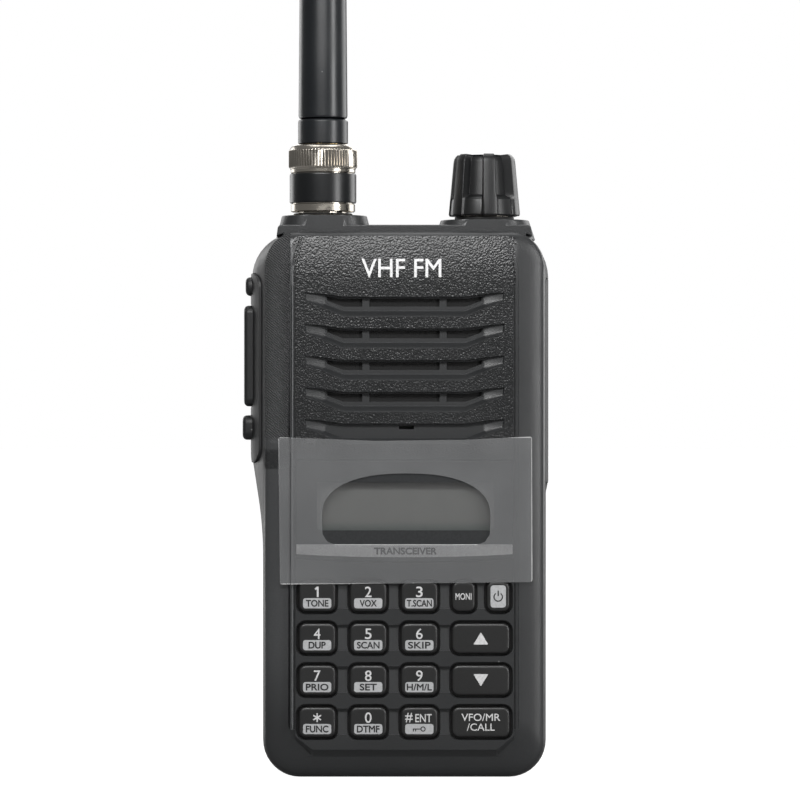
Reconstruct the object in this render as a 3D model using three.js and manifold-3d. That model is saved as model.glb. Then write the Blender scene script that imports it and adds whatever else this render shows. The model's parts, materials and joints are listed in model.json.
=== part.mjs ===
// Handheld VHF radio: a moulded front shell over a cast chassis, a rubber keypad, a slide-on battery and a
// bayonet antenna. Millimetres. +X is to the right as the radio faces you, -Y is the front and +Z is up.
// The origin is on the flat underside, in the middle of the chassis.
import * as THREE from "three";
import { mergeVertices } from "three/addons/utils/BufferGeometryUtils.js";
import Module from "manifold-3d";

const wasm = await Module();
wasm.setup();

// ---- Driving dimensions ----
const FRONT = -18; // the raised centre panel's face
const BACK = 18.25; // the battery's back face
const HALF = 28.8; // half the width of the lower body
const SHELL_TOP = 110.6;
const CORNER = { low: 7.5, high: 9.3 }; // corner radii of the body, seen from the front
const BULGE = { left: -31, right: 29.3, low: 47, high: 64.5, foot: 58, step: 60 }; // the wider upper body
const WALL = { front: 1.6, side: 1.9 };
const SHELL_BACK = -4.1; // rear rim of the front shell
const SEAL = { front: -4, back: -3.6, outer: 0.7, inner: 1.9, top: 103 };
const CHASSIS = { front: -3.5, back: 2, wall: 1.8 };
// Between its corners, the shell is cut away behind and above the shelf.
const SHELF = { half: 24.8, y: -14.6, z: 103.8 };
const HEAD = {
  front: -14.3, back: 9, low: 99.3, foot: 103.95, top: 112, wall: 1.8, half: [27.2, 26.3, 25.5],
};
// The neck is the front of the head, between the shell's corners.
const NECK = { half: 24.2, wall: 1.7, cap: [109.9, 110.85], capHalf: 25.7 };
const BOSS = { antenna: [-24.9, -7.7, 114], knob: [7.4, 25.3, 113.1], front: -14.3, back: 0.5, radius: 4 };
const GAP = 0.3; // between neighbouring pieces
const PANEL = { half: 22.2, top: 109.5, foot: 5.9, slant: 3.4, lean: 2, leanFrom: 102, drop: 0.75 };

const KEY = { width: 7.55, height: 6.2, radius: 1.5, face: -18.2, edge: 0.25, gap: 0.35 };
const KEY_FLANGE = { front: -16.1, back: -15.8, lip: 0.5 };
const ROW_Z = [36.9, 28.45, 20, 11.55];
const COLUMN_X = [-17.6, -7.3, 3];
const WIDE_KEY = { x: 15.4, width: 11.8 };
const SMALL_KEY = { width: 4.8, x: [11.9, 18.9] };

const LENS = { half: 21.9, low: 44.3, high: 64.2, face: -18.05, back: -17 };
const WINDOW = { half: 18.6, low: 49.2, high: 61.2 };
const LCD = { half: 20.3, low: 47.6, high: 62.6, front: -16.1, back: -14.2 };
const FILM = { left: -25.5, right: 25.8, low: 39.3, high: 69.1, front: -18.5, back: -18.35 };

const SLOT = { count: 5, top: 97.3, pitch: 6.4, height: 3.9, flat: 12.3, half: 20.1, depth: 0.9 };
const SLOT_HOLE = { high: 2.8, half: 15.4, rib: 1.1, ribX: 7.8, last: 1.5 };
const SPEAKER = { z: 84, radius: 15.5, back: -8.5 };
const MIC = { x: -19.05, z: 68.35, width: 2.2, height: 1, radius: 2.6 };

const HEAD_Y = -7.3; // the antenna and the volume knob stand on this line
const ANTENNA = { x: -16.6, tip: 274, baseRadius: 5, tipRadius: 3.9 };
const KNOB = {
  x: 16.3, bottom: 113.95, step: 117.5, top: 126.5, flutes: 6, ridge: 8.6, cavity: 5.3, shaft: 3,
};

const PTT = {
  face: -32.6, low: 75.2, high: 95.7, front: -12.4, back: -5.6, flange: [-26.4, -25.8], lip: 0.9,
};
const PTT_PAD = { face: -31.15, floor: -30, low: 63.8, high: 102.2, front: -14.2, back: -4.8 };
const JACK_COVER = { low: 59.6, high: 101, front: -14.2, back: -6, face: 29.35, floor: 28.05 };
const JACKS = { z: [92, 81], y: -10.1, holeRadius: 2.2, stub: 1.6 };

const BATTERY = { half: 28.4, bottom: 0.3, top: 99, front: 2.3, lidBack: 5.6, shellFront: 5.7, wall: 1.5 };
const LUG = { x: 20, z: [16, 80], length: 6, stem: 1.5, head: 3, neckEnd: 3.4, capEnd: 4.6 };
const BATTERY_TRAVEL = 8.5; // down the lugs until they stand in their entry windows
const LATCH = { half: 8.5, low: 0.6, high: 3.2, front: 0.9, back: 11, travel: 2 };
const TERMINALS = { half: 6.5, low: 27, high: 34 };
const SCREWS = [[-24.3, 10], [24.3, 10], [-24.3, 68], [24.3, 68]];
const SCREW = { post: 2.5, pilot: 1.25, shank: 1, tip: -9.2, head: 2.2, seat: 1.1, boss: 2.8 };

// ---- Finishes ----
const finish = (color, roughness, metalness = 0) =>
  new THREE.MeshStandardMaterial({ color, roughness, metalness });
const SHELL = finish(0x2b2d2f, 0.62);
const RUBBER = finish(0x1d1f20, 0.75);
const KEY_PLASTIC = finish(0x232425, 0.4);
const CAST = finish(0x303234, 0.55);
const NICKEL = finish(0xb9b0a2, 0.28, 1);
const GOLD = finish(0xc9a24a, 0.3, 1);
const BOARD = finish(0x1e5a34, 0.5);
const TIN = finish(0xa9acb0, 0.4, 1);
const SMOKED = finish(0x3d3f41, 0.08);
const HAZE = finish(0x9c9ea0, 0.3);
const LCD_GREY = finish(0x6e706c, 0.35);
const WHITE_PLASTIC = finish(0xe4e4df, 0.6);
const FOIL = finish(0x9aa2aa, 0.35, 1);
const CLOTH = finish(0x101112, 0.95);

const radio = new THREE.Group();

function add(name, geometry, material) {
  const mesh = new THREE.Mesh(geometry, material);
  mesh.name = name;
  radio.add(mesh);
}

// ---- Geometry helpers ----
function toSolid(geometry) {
  const bare = new THREE.BufferGeometry().setAttribute("position", geometry.getAttribute("position"));
  if (geometry.index) bare.setIndex(geometry.index);
  const merged = mergeVertices(bare, 1e-4);
  return new wasm.Manifold(new wasm.Mesh({
    numProp: 3,
    vertProperties: merged.attributes.position.array,
    triVerts: new Uint32Array(merged.index.array),
  }));
}

function toGeometry(solid) {
  const { vertProperties, triVerts } = solid.getMesh();
  const geometry = new THREE.BufferGeometry();
  geometry.setAttribute("position", new THREE.BufferAttribute(vertProperties, 3));
  geometry.setIndex(new THREE.BufferAttribute(triVerts, 1));
  geometry.computeVertexNormals();
  return geometry;
}

const cut = (base, ...tools) => toGeometry(tools.reduce((s, t) => s.subtract(toSolid(t)), toSolid(base)));
const join = (base, ...more) => toGeometry(more.reduce((s, t) => s.add(toSolid(t)), toSolid(base)));

// A box between two values on each axis.
function box(x0, x1, y0, y1, z0, z1) {
  const made = new THREE.BoxGeometry(x1 - x0, y1 - y0, z1 - z0);
  return made.translate((x0 + x1) / 2, (y0 + y1) / 2, (z0 + z1) / 2);
}

// A round bar along X, Y or Z, between two values on that axis; its centre is given by the other two.
function rod(axis, radius, from, to, [a, b], sides = 20) {
  const made = new THREE.CylinderGeometry(radius, radius, to - from, sides);
  const middle = (from + to) / 2;
  if (axis === "x") return made.rotateZ(-Math.PI / 2).translate(middle, a, b);
  if (axis === "y") return made.translate(a, middle, b);
  return made.rotateX(Math.PI / 2).translate(a, b, middle);
}

// Points round a closed anticlockwise outline whose corners are [x, y, radius].
function rounded(corners, steps = 5) {
  const points = [];
  corners.forEach(([x, y, radius = 0], i) => {
    const here = new THREE.Vector2(x, y);
    if (!radius) {
      points.push(here);
      return;
    }
    const before = corners[(i + corners.length - 1) % corners.length];
    const after = corners[(i + 1) % corners.length];
    const u = new THREE.Vector2(before[0] - x, before[1] - y).normalize();
    const v = new THREE.Vector2(after[0] - x, after[1] - y).normalize();
    const half = Math.acos(THREE.MathUtils.clamp(u.dot(v), -1, 1)) / 2;
    const centre = u.clone().add(v).normalize().multiplyScalar(radius / Math.sin(half)).add(here);
    const first = u.clone().multiplyScalar(radius / Math.tan(half)).add(here).sub(centre);
    const last = v.clone().multiplyScalar(radius / Math.tan(half)).add(here).sub(centre);
    const start = Math.atan2(first.y, first.x);
    const sweep = Math.atan2(first.x * last.y - first.y * last.x, first.dot(last));
    for (let k = 0; k <= steps; k++) {
      const angle = start + (sweep * k) / steps;
      points.push(new THREE.Vector2(Math.cos(angle), Math.sin(angle)).multiplyScalar(radius).add(centre));
    }
  });
  return points;
}

const roundedBox = (x0, x1, y0, y1, r, steps) =>
  rounded([[x0, y0, r], [x1, y0, r], [x1, y1, r], [x0, y1, r]], steps);

function extruded(outline, depth, holes) {
  const shape = new THREE.Shape(outline);
  shape.holes = holes.map((hole) => new THREE.Path(hole));
  return new THREE.ExtrudeGeometry(shape, { depth, bevelEnabled: false });
}

// An outline facing the front, given thickness from one y to the next.
function plate(outline, front, back, holes = []) {
  return extruded(outline, back - front, holes).rotateX(Math.PI / 2).translate(0, back, 0);
}

// An outline on the side, as (y, z), given thickness from one x to the next.
function sidePlate(outline, x0, x1, holes = []) {
  return extruded(outline, x1 - x0, holes).rotateX(Math.PI / 2).rotateZ(Math.PI / 2).translate(x0, 0, 0);
}

// An outline seen from above, given thickness from one z to the next.
function slab(outline, z0, z1, holes = []) {
  return extruded(outline, z1 - z0, holes).translate(0, 0, z0);
}

// A closed skin through outlines with equal point counts, listed front to back as [y, outline].
function loft(sections) {
  const count = sections[0][1].length;
  const position = sections.flatMap(([y, outline]) => outline.flatMap((p) => [p.x, y, p.y]));
  const index = [];
  for (let s = 0; s + 1 < sections.length; s++) {
    for (let i = 0; i < count; i++) {
      const a = s * count + i;
      const b = s * count + ((i + 1) % count);
      index.push(a, a + count, b, b, a + count, b + count);
    }
  }
  const end = (sections.length - 1) * count;
  for (const [a, b, c] of THREE.ShapeUtils.triangulateShape(sections[0][1], [])) index.push(a, b, c);
  for (const [a, b, c] of THREE.ShapeUtils.triangulateShape(sections.at(-1)[1], [])) {
    index.push(end + a, end + c, end + b);
  }
  const geometry = new THREE.BufferGeometry();
  geometry.setAttribute("position", new THREE.Float32BufferAttribute(position, 3));
  geometry.setIndex(index);
  return geometry;
}

// A turned piece about the vertical line through (x, y), from its [radius, height] profile, bottom first.
function turned(profile, x, y, segments = 20) {
  const points = profile.map(([r, z]) => new THREE.Vector2(r, z));
  return new THREE.LatheGeometry(points, segments).rotateX(Math.PI / 2).translate(x, y, 0);
}

// A plain ring about the same line.
function collar(inner, outer, low, high, x, y, segments = 20) {
  return turned([[inner, low], [outer, low], [outer, high], [inner, high], [inner, low]], x, y, segments);
}

// ---- Casing ----
// The body's outline from the front. Every section has the same corners, so sections can be lofted.
function bodyOutline({ left, right, halfLow, foot = 0, top = SHELL_TOP, corner, highCorner = corner }) {
  return rounded([
    [-halfLow, foot, corner],
    [halfLow, foot, corner],
    [halfLow, BULGE.foot],
    [right, BULGE.step],
    [right, top, highCorner],
    [left, top, highCorner],
    [left, BULGE.high],
    [-halfLow, BULGE.low],
  ]);
}

const straightOutline = (half, foot, top, corner) =>
  bodyOutline({ left: -half, right: half, halfLow: half, foot, top, corner });

const fullOutline = (inset) => bodyOutline({
  left: BULGE.left + inset,
  right: BULGE.right - inset,
  halfLow: HALF - inset,
  foot: inset,
  corner: CORNER.low - inset,
  highCorner: CORNER.high - inset,
});

// The raised centre panel: its edges lean in towards the top, and its foot has slanted corners.
function panelOutline() {
  const { half, foot, slant, lean, leanFrom, top } = PANEL;
  return rounded([
    [-half + slant, foot, 0.8],
    [half - slant, foot, 0.8],
    [half, foot + slant * 0.8],
    [half, leanFrom],
    [half - lean, top, 0.6],
    [-half + lean, top, 0.6],
    [-half, leanFrom],
    [-half, foot + slant * 0.8],
  ]);
}

// A speaker slot: level in the middle, stepping up and widening at each end.
function slotOutline(index) {
  const top = SLOT.top - index * SLOT.pitch;
  const low = top - SLOT.height;
  const right = [
    [SLOT.flat, low],
    [SLOT.flat + 4.1, low + 1.9],
    [SLOT.half - 0.2, low + 3],
    [SLOT.half, top + 0.9],
    [SLOT.flat + 5.2, top + 0.75],
    [SLOT.flat, top],
  ];
  const left = right.map(([x, z]) => [-x, z]).reverse();
  return [...right, ...left].map(([x, z]) => new THREE.Vector2(x, z));
}

// Sound passes through three short holes in each slot's floor; the lowest slot has one small one.
function slotHoles(index) {
  const high = SLOT.top - index * SLOT.pitch - GAP;
  const through = (x0, x1, low) => box(x0, x1, FRONT - 1, FRONT + 3, low, high);
  if (index === SLOT.count - 1) return [through(-SLOT_HOLE.last, SLOT_HOLE.last, high - 1)];
  const edge = SLOT_HOLE.ribX + SLOT_HOLE.rib / 2;
  const inner = SLOT_HOLE.ribX - SLOT_HOLE.rib / 2;
  const low = high - SLOT_HOLE.high;
  return [
    through(-SLOT_HOLE.half, -edge, low),
    through(-inner, inner, low),
    through(edge, SLOT_HOLE.half, low),
  ];
}

const keySites = [
  ...[["1", "2", "3"], ["4", "5", "6"], ["7", "8", "9"], ["star", "0", "hash"]].flatMap((names, row) =>
    names.map((name, column) => ({ name, x: COLUMN_X[column], z: ROW_Z[row], width: KEY.width }))),
  ...["up", "down", "call"].map((name, i) => (
    { name, x: WIDE_KEY.x, z: ROW_Z[i + 1], width: WIDE_KEY.width }
  )),
  ...["monitor", "power"].map((name, i) => (
    { name, x: SMALL_KEY.x[i], z: ROW_Z[0], width: SMALL_KEY.width }
  )),
];

function keyOutline({ x, z, width }, grow) {
  const w = width / 2 + grow;
  const h = KEY.height / 2 + grow;
  return roundedBox(x - w, x + w, z - h, z + h, KEY.radius + grow, 3);
}

function frontShell() {
  const outside = loft([
    [FRONT, straightOutline(23.4, 3.2, SHELL_TOP - 0.9, 3)],
    [FRONT + PANEL.drop, straightOutline(24.2, 2.6, SHELL_TOP - 0.5, 3.6)],
    [-16.2, straightOutline(27.6, 1.3, SHELL_TOP - 0.2, 6.4)],
    [-15.4, straightOutline(28.3, 0.6, SHELL_TOP, 7)],
    [-9, fullOutline(0)],
    [SHELL_BACK, fullOutline(0)],
  ]);
  const inside = loft([
    [FRONT + WALL.front, straightOutline(22.6, 3.4, 107.6, 3)],
    [-14.2, straightOutline(25.6, 2, 108, 5)],
    [-12, straightOutline(HALF - WALL.side, WALL.side, 108.2, 5.8)],
    [SHELL_BACK + 1, straightOutline(HALF - WALL.side, WALL.side, 108.2, 5.8)],
  ]);
  const beside = plate(roundedBox(-40, 40, -20, 130, 1), FRONT - 1, FRONT + PANEL.drop, [panelOutline()]);
  const posts = SCREWS.flatMap(([x, z]) => [
    rod("y", SCREW.post, -10.5, SHELL_BACK, [x, z]),
    box(Math.min(x, Math.sign(x) * 28), Math.max(x, Math.sign(x) * 28), -10.5, SHELL_BACK, z - 1.2, z + 1.2),
  ]);
  return cut(
    join(cut(outside, beside, inside), ...posts),
    ...keySites.map((site) => plate(keyOutline(site, KEY.gap), FRONT - 1, -15)),
    plate(roundedBox(-LENS.half - 0.15, LENS.half + 0.15, LENS.low - 0.15, LENS.high + 0.15, 1.2), FRONT - 1,
      LENS.back + 0.1),
    plate(roundedBox(-WINDOW.half, WINDOW.half, WINDOW.low, WINDOW.high, 0.8), FRONT - 1, -15),
    ...Array.from({ length: SLOT.count }, (_, i) => plate(slotOutline(i), FRONT - 1, FRONT + SLOT.depth)),
    ...Array.from({ length: SLOT.count }, (_, i) => slotHoles(i)).flat(),
    box(MIC.x - MIC.width / 2, MIC.x + MIC.width / 2, FRONT - 1, -15, MIC.z - MIC.height / 2,
      MIC.z + MIC.height / 2),
    box(-SHELF.half, SHELF.half, SHELF.y, 10, SHELF.z, 130),
    sidePlate(roundedBox(PTT_PAD.front - GAP, PTT_PAD.back + GAP, PTT_PAD.low - GAP, PTT_PAD.high + GAP, 3),
      -40, PTT_PAD.floor),
    box(-40, -20, PTT.front - KEY.gap, PTT.back + KEY.gap, PTT.low - KEY.gap, PTT.high + KEY.gap),
    box(JACK_COVER.floor - 0.15, 40, JACK_COVER.front - GAP, JACK_COVER.back + GAP, JACK_COVER.low - GAP,
      JACK_COVER.high + GAP),
    ...JACKS.z.map((z) => rod("x", JACKS.holeRadius, 20, 40, [JACKS.y, z], 16)),
    ...SCREWS.map(([x, z]) => rod("y", SCREW.pilot, SCREW.tip - 0.3, 0, [x, z], 12)),
  );
}

function lug(x, z) {
  const low = z - LUG.length / 2;
  const high = z + LUG.length / 2;
  return [
    box(x - LUG.stem, x + LUG.stem, CHASSIS.back - 0.5, LUG.neckEnd + 0.1, low, high),
    box(x - LUG.head, x + LUG.head, LUG.neckEnd, LUG.capEnd, low, high),
  ];
}

const lugSites = LUG.z.flatMap((z) => [[-LUG.x, z], [LUG.x, z]]);

function boss([x0, x1, top]) {
  return slab(roundedBox(x0, x1, BOSS.front, BOSS.back, BOSS.radius), HEAD.top - 1, top);
}

function chassis() {
  const tray = plate(fullOutline(0), CHASSIS.front, CHASSIS.back);
  const trayInside = plate(straightOutline(HALF - WALL.side, WALL.side, SHELF.z, 5.8), CHASSIS.front - 1,
    CHASSIS.back - CHASSIS.wall);
  const [footHalf, middleHalf, topHalf] = HEAD.half;
  const headOutline = rounded([
    [-footHalf, HEAD.foot],
    [footHalf, HEAD.foot],
    [middleHalf, 108.3],
    [topHalf, HEAD.top, 0.8],
    [-topHalf, HEAD.top, 0.8],
    [-middleHalf, 108.3],
  ]);
  const [capLow, capFoot] = NECK.cap;
  const neckOutline = rounded([
    [-NECK.half, HEAD.foot],
    [NECK.half, HEAD.foot],
    [NECK.half, capFoot],
    [NECK.capHalf, capLow + 0.2],
    [topHalf, HEAD.top, 0.8],
    [-topHalf, HEAD.top, 0.8],
    [-NECK.capHalf, capLow + 0.2],
    [-NECK.half, capFoot],
  ]);
  const inner = NECK.half - NECK.wall;
  const bosses = SCREWS.map(([x, z]) => rod("y", SCREW.boss, CHASSIS.front, CHASSIS.back - 1, [x, z]));
  return cut(
    join(
      cut(tray, trayInside),
      plate(neckOutline, HEAD.front, CHASSIS.front + 1),
      plate(headOutline, CHASSIS.front, HEAD.back),
      box(-footHalf, footHalf, CHASSIS.front, HEAD.back, HEAD.low, HEAD.foot),
      boss(BOSS.antenna),
      boss(BOSS.knob),
      ...bosses,
      ...lugSites.flatMap(([x, z]) => lug(x, z)),
    ),
    box(-inner, inner, HEAD.front + 1.2, HEAD.back - HEAD.wall, HEAD.low + HEAD.wall, HEAD.top - HEAD.wall),
    box(-inner, inner, HEAD.front + 1.2, CHASSIS.back - CHASSIS.wall, 90, HEAD.top - HEAD.wall),
    rod("z", 5, 100, 130, [ANTENNA.x, HEAD_Y]),
    rod("z", 4.3, 100, 130, [KNOB.x, HEAD_Y]),
    ...SCREWS.map(([x, z]) => rod("y", SCREW.pilot, -10, 5, [x, z], 12)),
    ...SCREWS.map(([x, z]) => rod("y", SCREW.head + 0.3, SCREW.seat - 0.1, 5, [x, z], 16)),
    box(-LATCH.half - 0.5, LATCH.half + 0.5, LATCH.front - 0.4, 5, -1, LATCH.high + 0.6),
    box(-TERMINALS.half - 0.3, TERMINALS.half + 0.3, 0, 5, TERMINALS.low - 0.3, TERMINALS.high + 0.3),
  );
}

add("front_case", frontShell(), SHELL);
add("rear_chassis", chassis(), CAST);
add("main_seal", cut(
  plate(fullOutline(SEAL.outer), SEAL.front, SEAL.back,
    [straightOutline(HALF - SEAL.inner, SEAL.inner, 106, 5.8)]),
  box(-SHELF.half, SHELF.half, -10, 10, SEAL.top, 130),
), RUBBER);
SCREWS.forEach(([x, z], i) => {
  const head = cut(
    rod("y", SCREW.head, SCREW.seat, CHASSIS.back - 0.1, [x, z], 16),
    box(x - 1.5, x + 1.5, CHASSIS.back - 0.6, 5, z - 0.3, z + 0.3),
    box(x - 0.3, x + 0.3, CHASSIS.back - 0.6, 5, z - 1.5, z + 1.5),
  );
  const shank = rod("y", SCREW.shank, SCREW.tip, SCREW.seat + 0.1, [x, z], 12);
  add(`chassis_screw_${i + 1}`, join(shank, head), TIN);
});

// ---- Display ----
const lensOutline = roundedBox(-LENS.half, LENS.half, LENS.low, LENS.high, 1);
add("display_lens", plate(lensOutline, LENS.face, LENS.back), SMOKED);
const lcdOutline = roundedBox(-LCD.half, LCD.half, LCD.low, LCD.high, 0.4);
add("lcd_panel", plate(lcdOutline, LCD.front, LCD.back), LCD_GREY);
add("lcd_holder", cut(
  box(-LCD.half - 1.3, LCD.half + 1.3, -15.7, -12.9, LCD.low - 1.1, LCD.high + 1.1),
  box(-LCD.half - 0.3, LCD.half + 0.3, -17, -13.9, LCD.low - 0.3, LCD.high + 0.3),
), WHITE_PLASTIC);
const archWindow = rounded([
  [-16.8, 47.1, 1.4], [17, 47.1, 1.4], [17.3, 58.4, 3.4], [1, 62.4, 24], [-16.6, 58.4, 3.4],
]);
const filmOutline = roundedBox(FILM.left, FILM.right, FILM.low, FILM.high, 1.2);
add("protective_film", plate(filmOutline, FILM.front, FILM.back, [archWindow]), HAZE);

// ---- Keypad ----
for (const site of keySites) {
  add(`key_${site.name}`, loft([
    [KEY.face, keyOutline(site, -KEY.edge)],
    [KEY.face + KEY.edge, keyOutline(site, 0)],
    [KEY_FLANGE.front, keyOutline(site, 0)],
    [KEY_FLANGE.front, keyOutline(site, KEY_FLANGE.lip)],
    [KEY_FLANGE.back, keyOutline(site, KEY_FLANGE.lip)],
  ]), KEY_PLASTIC);
}
add("keypad_mat", plate(roundedBox(-22.4, 22.4, 6.8, 41.6, 2), -15, -12.9), RUBBER);

// ---- Sound ----
const driver = turned([
  [0, 0], [7, 0], [7, 3.2], [SPEAKER.radius - 1, 4.2], [SPEAKER.radius, 4.2], [SPEAKER.radius, 7],
  [SPEAKER.radius - 1, 7], [SPEAKER.radius - 2.5, 6.2], [4.5, 3.6], [3.5, 4.4], [0, 4.8],
], 0, 0, 20);
add("speaker", driver.rotateX(Math.PI / 2).translate(0, SPEAKER.back, SPEAKER.z), TIN);
add("speaker_cloth", plate(roundedBox(-18, 18, 71.4, 98.6, 2), -16.1, -15.8), CLOTH);
add("microphone", rod("y", MIC.radius, -15.9, -12.9, [MIC.x, MIC.z], 20), TIN);

// ---- Boards ----
add("logic_board", plate(roundedBox(-25.4, 25.4, 6, 66, 3), -12.5, -11.5), BOARD);
add("main_board", plate(roundedBox(-21.3, 21.3, 5, 99, 1), -6.4, -5.2), BOARD);
add("shield_can", cut(box(-17, 17, -10.6, -6.6, 12, 60), box(-16.4, 16.4, -10.2, 0, 12.6, 59.4)), TIN);

// ---- Volume knob ----
const knobAxis = [KNOB.x, HEAD_Y];
add("volume_control", cut(
  join(
    box(KNOB.x - 5.5, KNOB.x + 5.5, HEAD_Y - 5, HEAD_Y + 5, 102.5, 109.8),
    rod("z", 4, 109, 116, knobAxis, 20),
  ),
  rod("z", KNOB.shaft + 0.35, 105, 120, knobAxis, 20),
), TIN);
add("knob_seal", collar(4.45, 5.4, 113.15, 113.6, ...knobAxis), RUBBER);
add("volume_nut", slab(
  Array.from({ length: 6 }, (_, i) => new THREE.Vector2(4.85, 0)
    .rotateAround(new THREE.Vector2(), (i * Math.PI) / 3)
    .add(new THREE.Vector2(...knobAxis))),
  113.7, 115.7, [new THREE.Path().absarc(...knobAxis, 4.15, 0, 2 * Math.PI).getPoints(20).slice(0, -1)],
), NICKEL);
add("volume_shaft", rod("z", KNOB.shaft, 105.4, 122, knobAxis, 20), TIN);

// One flute is a round-bottomed channel that runs out through the top of the knob.
function flute(angle) {
  const channel = rounded([[5.75, -2.6, 0.8], [9, -4.4], [9, 4.4], [5.75, 2.6, 0.8]]);
  const made = slab(channel, KNOB.step, KNOB.top + 1);
  return made.rotateZ(angle).translate(KNOB.x, HEAD_Y, 0);
}

function knob() {
  const blank = turned([
    [0, KNOB.bottom], [6.9, KNOB.bottom], [7.3, KNOB.bottom + 0.4], [7.1, KNOB.step], [6.1, KNOB.top - 0.8],
    [5.4, KNOB.top], [4.4, KNOB.top], [4, KNOB.top - 0.4], [0, KNOB.top - 0.4],
  ], ...knobAxis, 36);
  const front = -Math.PI / 2 + THREE.MathUtils.degToRad(KNOB.ridge);
  const pitch = (2 * Math.PI) / KNOB.flutes;
  return cut(
    blank,
    rod("z", KNOB.cavity, 110, 117, knobAxis, 20),
    rod("z", KNOB.shaft + 0.1, 110, 122.1, knobAxis, 20),
    ...Array.from({ length: KNOB.flutes }, (_, i) => flute(front + (i + 0.5) * pitch)),
  );
}
add("volume_knob", knob(), RUBBER);

// ---- Antenna ----
const antennaAxis = [ANTENNA.x, HEAD_Y];
const studs = cut(
  rod("x", 0.9, ANTENNA.x - 5.25, ANTENNA.x + 5.25, [HEAD_Y, 121.5], 12),
  rod("z", 4.5, 110, 130, antennaAxis),
);
const socketBody = turned([
  [0, 106], [1.6, 106], [1.6, 108.4], [5.6, 108.4], [5.6, 109.9], [4.85, 109.9], [4.85, 124.5], [4.2, 124.5],
  [4.2, 113], [1.6, 113], [1.6, 118], [0.95, 118], [0.95, 112.5], [0, 112.5],
], ...antennaAxis);
add("antenna_socket", join(socketBody, studs), NICKEL);
add("antenna_seal", collar(5.15, 6.2, 114.05, 114.5, ...antennaAxis), RUBBER);
add("coupling_sleeve", turned([
  [5.8, 114.8], [6.53, 114.8], [6.53, 116.4], [6.2, 116.4], [6.2, 122.7], [6.6, 122.7], [6.6, 123.5],
  [6.75, 123.5], [7, 123.8], [7, 128.1], [6.6, 128.5], [5.45, 128.5], [5.45, 127.2], [5.8, 127.2],
  [5.8, 114.8],
], ...antennaAxis, 28), NICKEL);
add("coupling_band", collar(6.3, 6.8, 116.6, 122.6, ...antennaAxis, 28), RUBBER);
add("antenna_plug", turned([
  [0, 113.3], [0.6, 113.3], [0.6, 124.9], [2.6, 124.9], [2.6, 113.6], [3.85, 113.6], [3.85, 124.9],
  [5.1, 124.9], [5.1, 128.55], [0, 128.55],
], ...antennaAxis), GOLD);
add("antenna_ferrule", turned([
  [0, 128.65], [4.7, 128.65], [5.1, 129], [5.1, 133.3], [4.8, 133.7], [0, 133.7],
], ...antennaAxis), RUBBER);
add("antenna_whip", turned([
  [0, 133.8], [4.6, 133.8], [ANTENNA.baseRadius, 134.3], [ANTENNA.tipRadius, ANTENNA.tip - 3],
  [ANTENNA.tipRadius * 0.85, ANTENNA.tip - 1.2], [ANTENNA.tipRadius * 0.5, ANTENNA.tip - 0.3],
  [0, ANTENNA.tip],
], ...antennaAxis), RUBBER);

// ---- Transmit key, on the left ----
const pttSide = roundedBox(PTT.front, PTT.back, PTT.low, PTT.high, 1.4, 4);
add("ptt_key", join(
  sidePlate(roundedBox(PTT.front + 0.5, PTT.back - 0.5, PTT.low + 0.5, PTT.high - 0.5, 1.2, 4), PTT.face,
    -30),
  sidePlate(pttSide, PTT.face + 0.6, PTT.flange[1]),
  box(...PTT.flange, PTT.front, PTT.back, PTT.low - PTT.lip, PTT.high + PTT.lip),
), RUBBER);
const padOutline = roundedBox(PTT_PAD.front, PTT_PAD.back, PTT_PAD.low, PTT_PAD.high, 3);
const padBump = (low, high, face) => sidePlate(
  roundedBox(PTT.front + 0.3, PTT.back - 0.3, low, high, 1.4), face, PTT_PAD.face + 0.3,
);
add("ptt_surround", cut(
  join(
    sidePlate(padOutline, PTT_PAD.face, PTT_PAD.floor - 0.05),
    padBump(97.9, 101.5, -32.2),
    padBump(68.8, 73.4, -32.9),
  ),
  box(-40, -20, PTT.front - GAP, PTT.back + GAP, PTT.low - GAP, PTT.high + GAP),
), RUBBER);
const plunger = rod("x", 0.8, -24.6, -24, [-8.9, 85.5], 12);
add("ptt_switch", join(box(-24.2, -21.8, -10.4, -7.4, 83, 88), plunger), TIN);

// ---- Jacks, on the right ----
add("jack_block", cut(
  box(17.8, 26.5, -12, -7.2, 76.5, 96.5),
  ...JACKS.z.map((z) => rod("x", 1.75, 19.5, 30, [JACKS.y + 0.4, z], 16)),
), WHITE_PLASTIC);
const coverOutline = roundedBox(JACK_COVER.front, JACK_COVER.back, JACK_COVER.low, JACK_COVER.high, 1.2, 4);
add("jack_cover", join(
  sidePlate(coverOutline, JACK_COVER.floor, JACK_COVER.face),
  ...JACKS.z.map((z) => rod("x", JACKS.stub, JACK_COVER.floor - 1, JACK_COVER.floor + 0.2, [JACKS.y, z], 16)),
), RUBBER);

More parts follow.
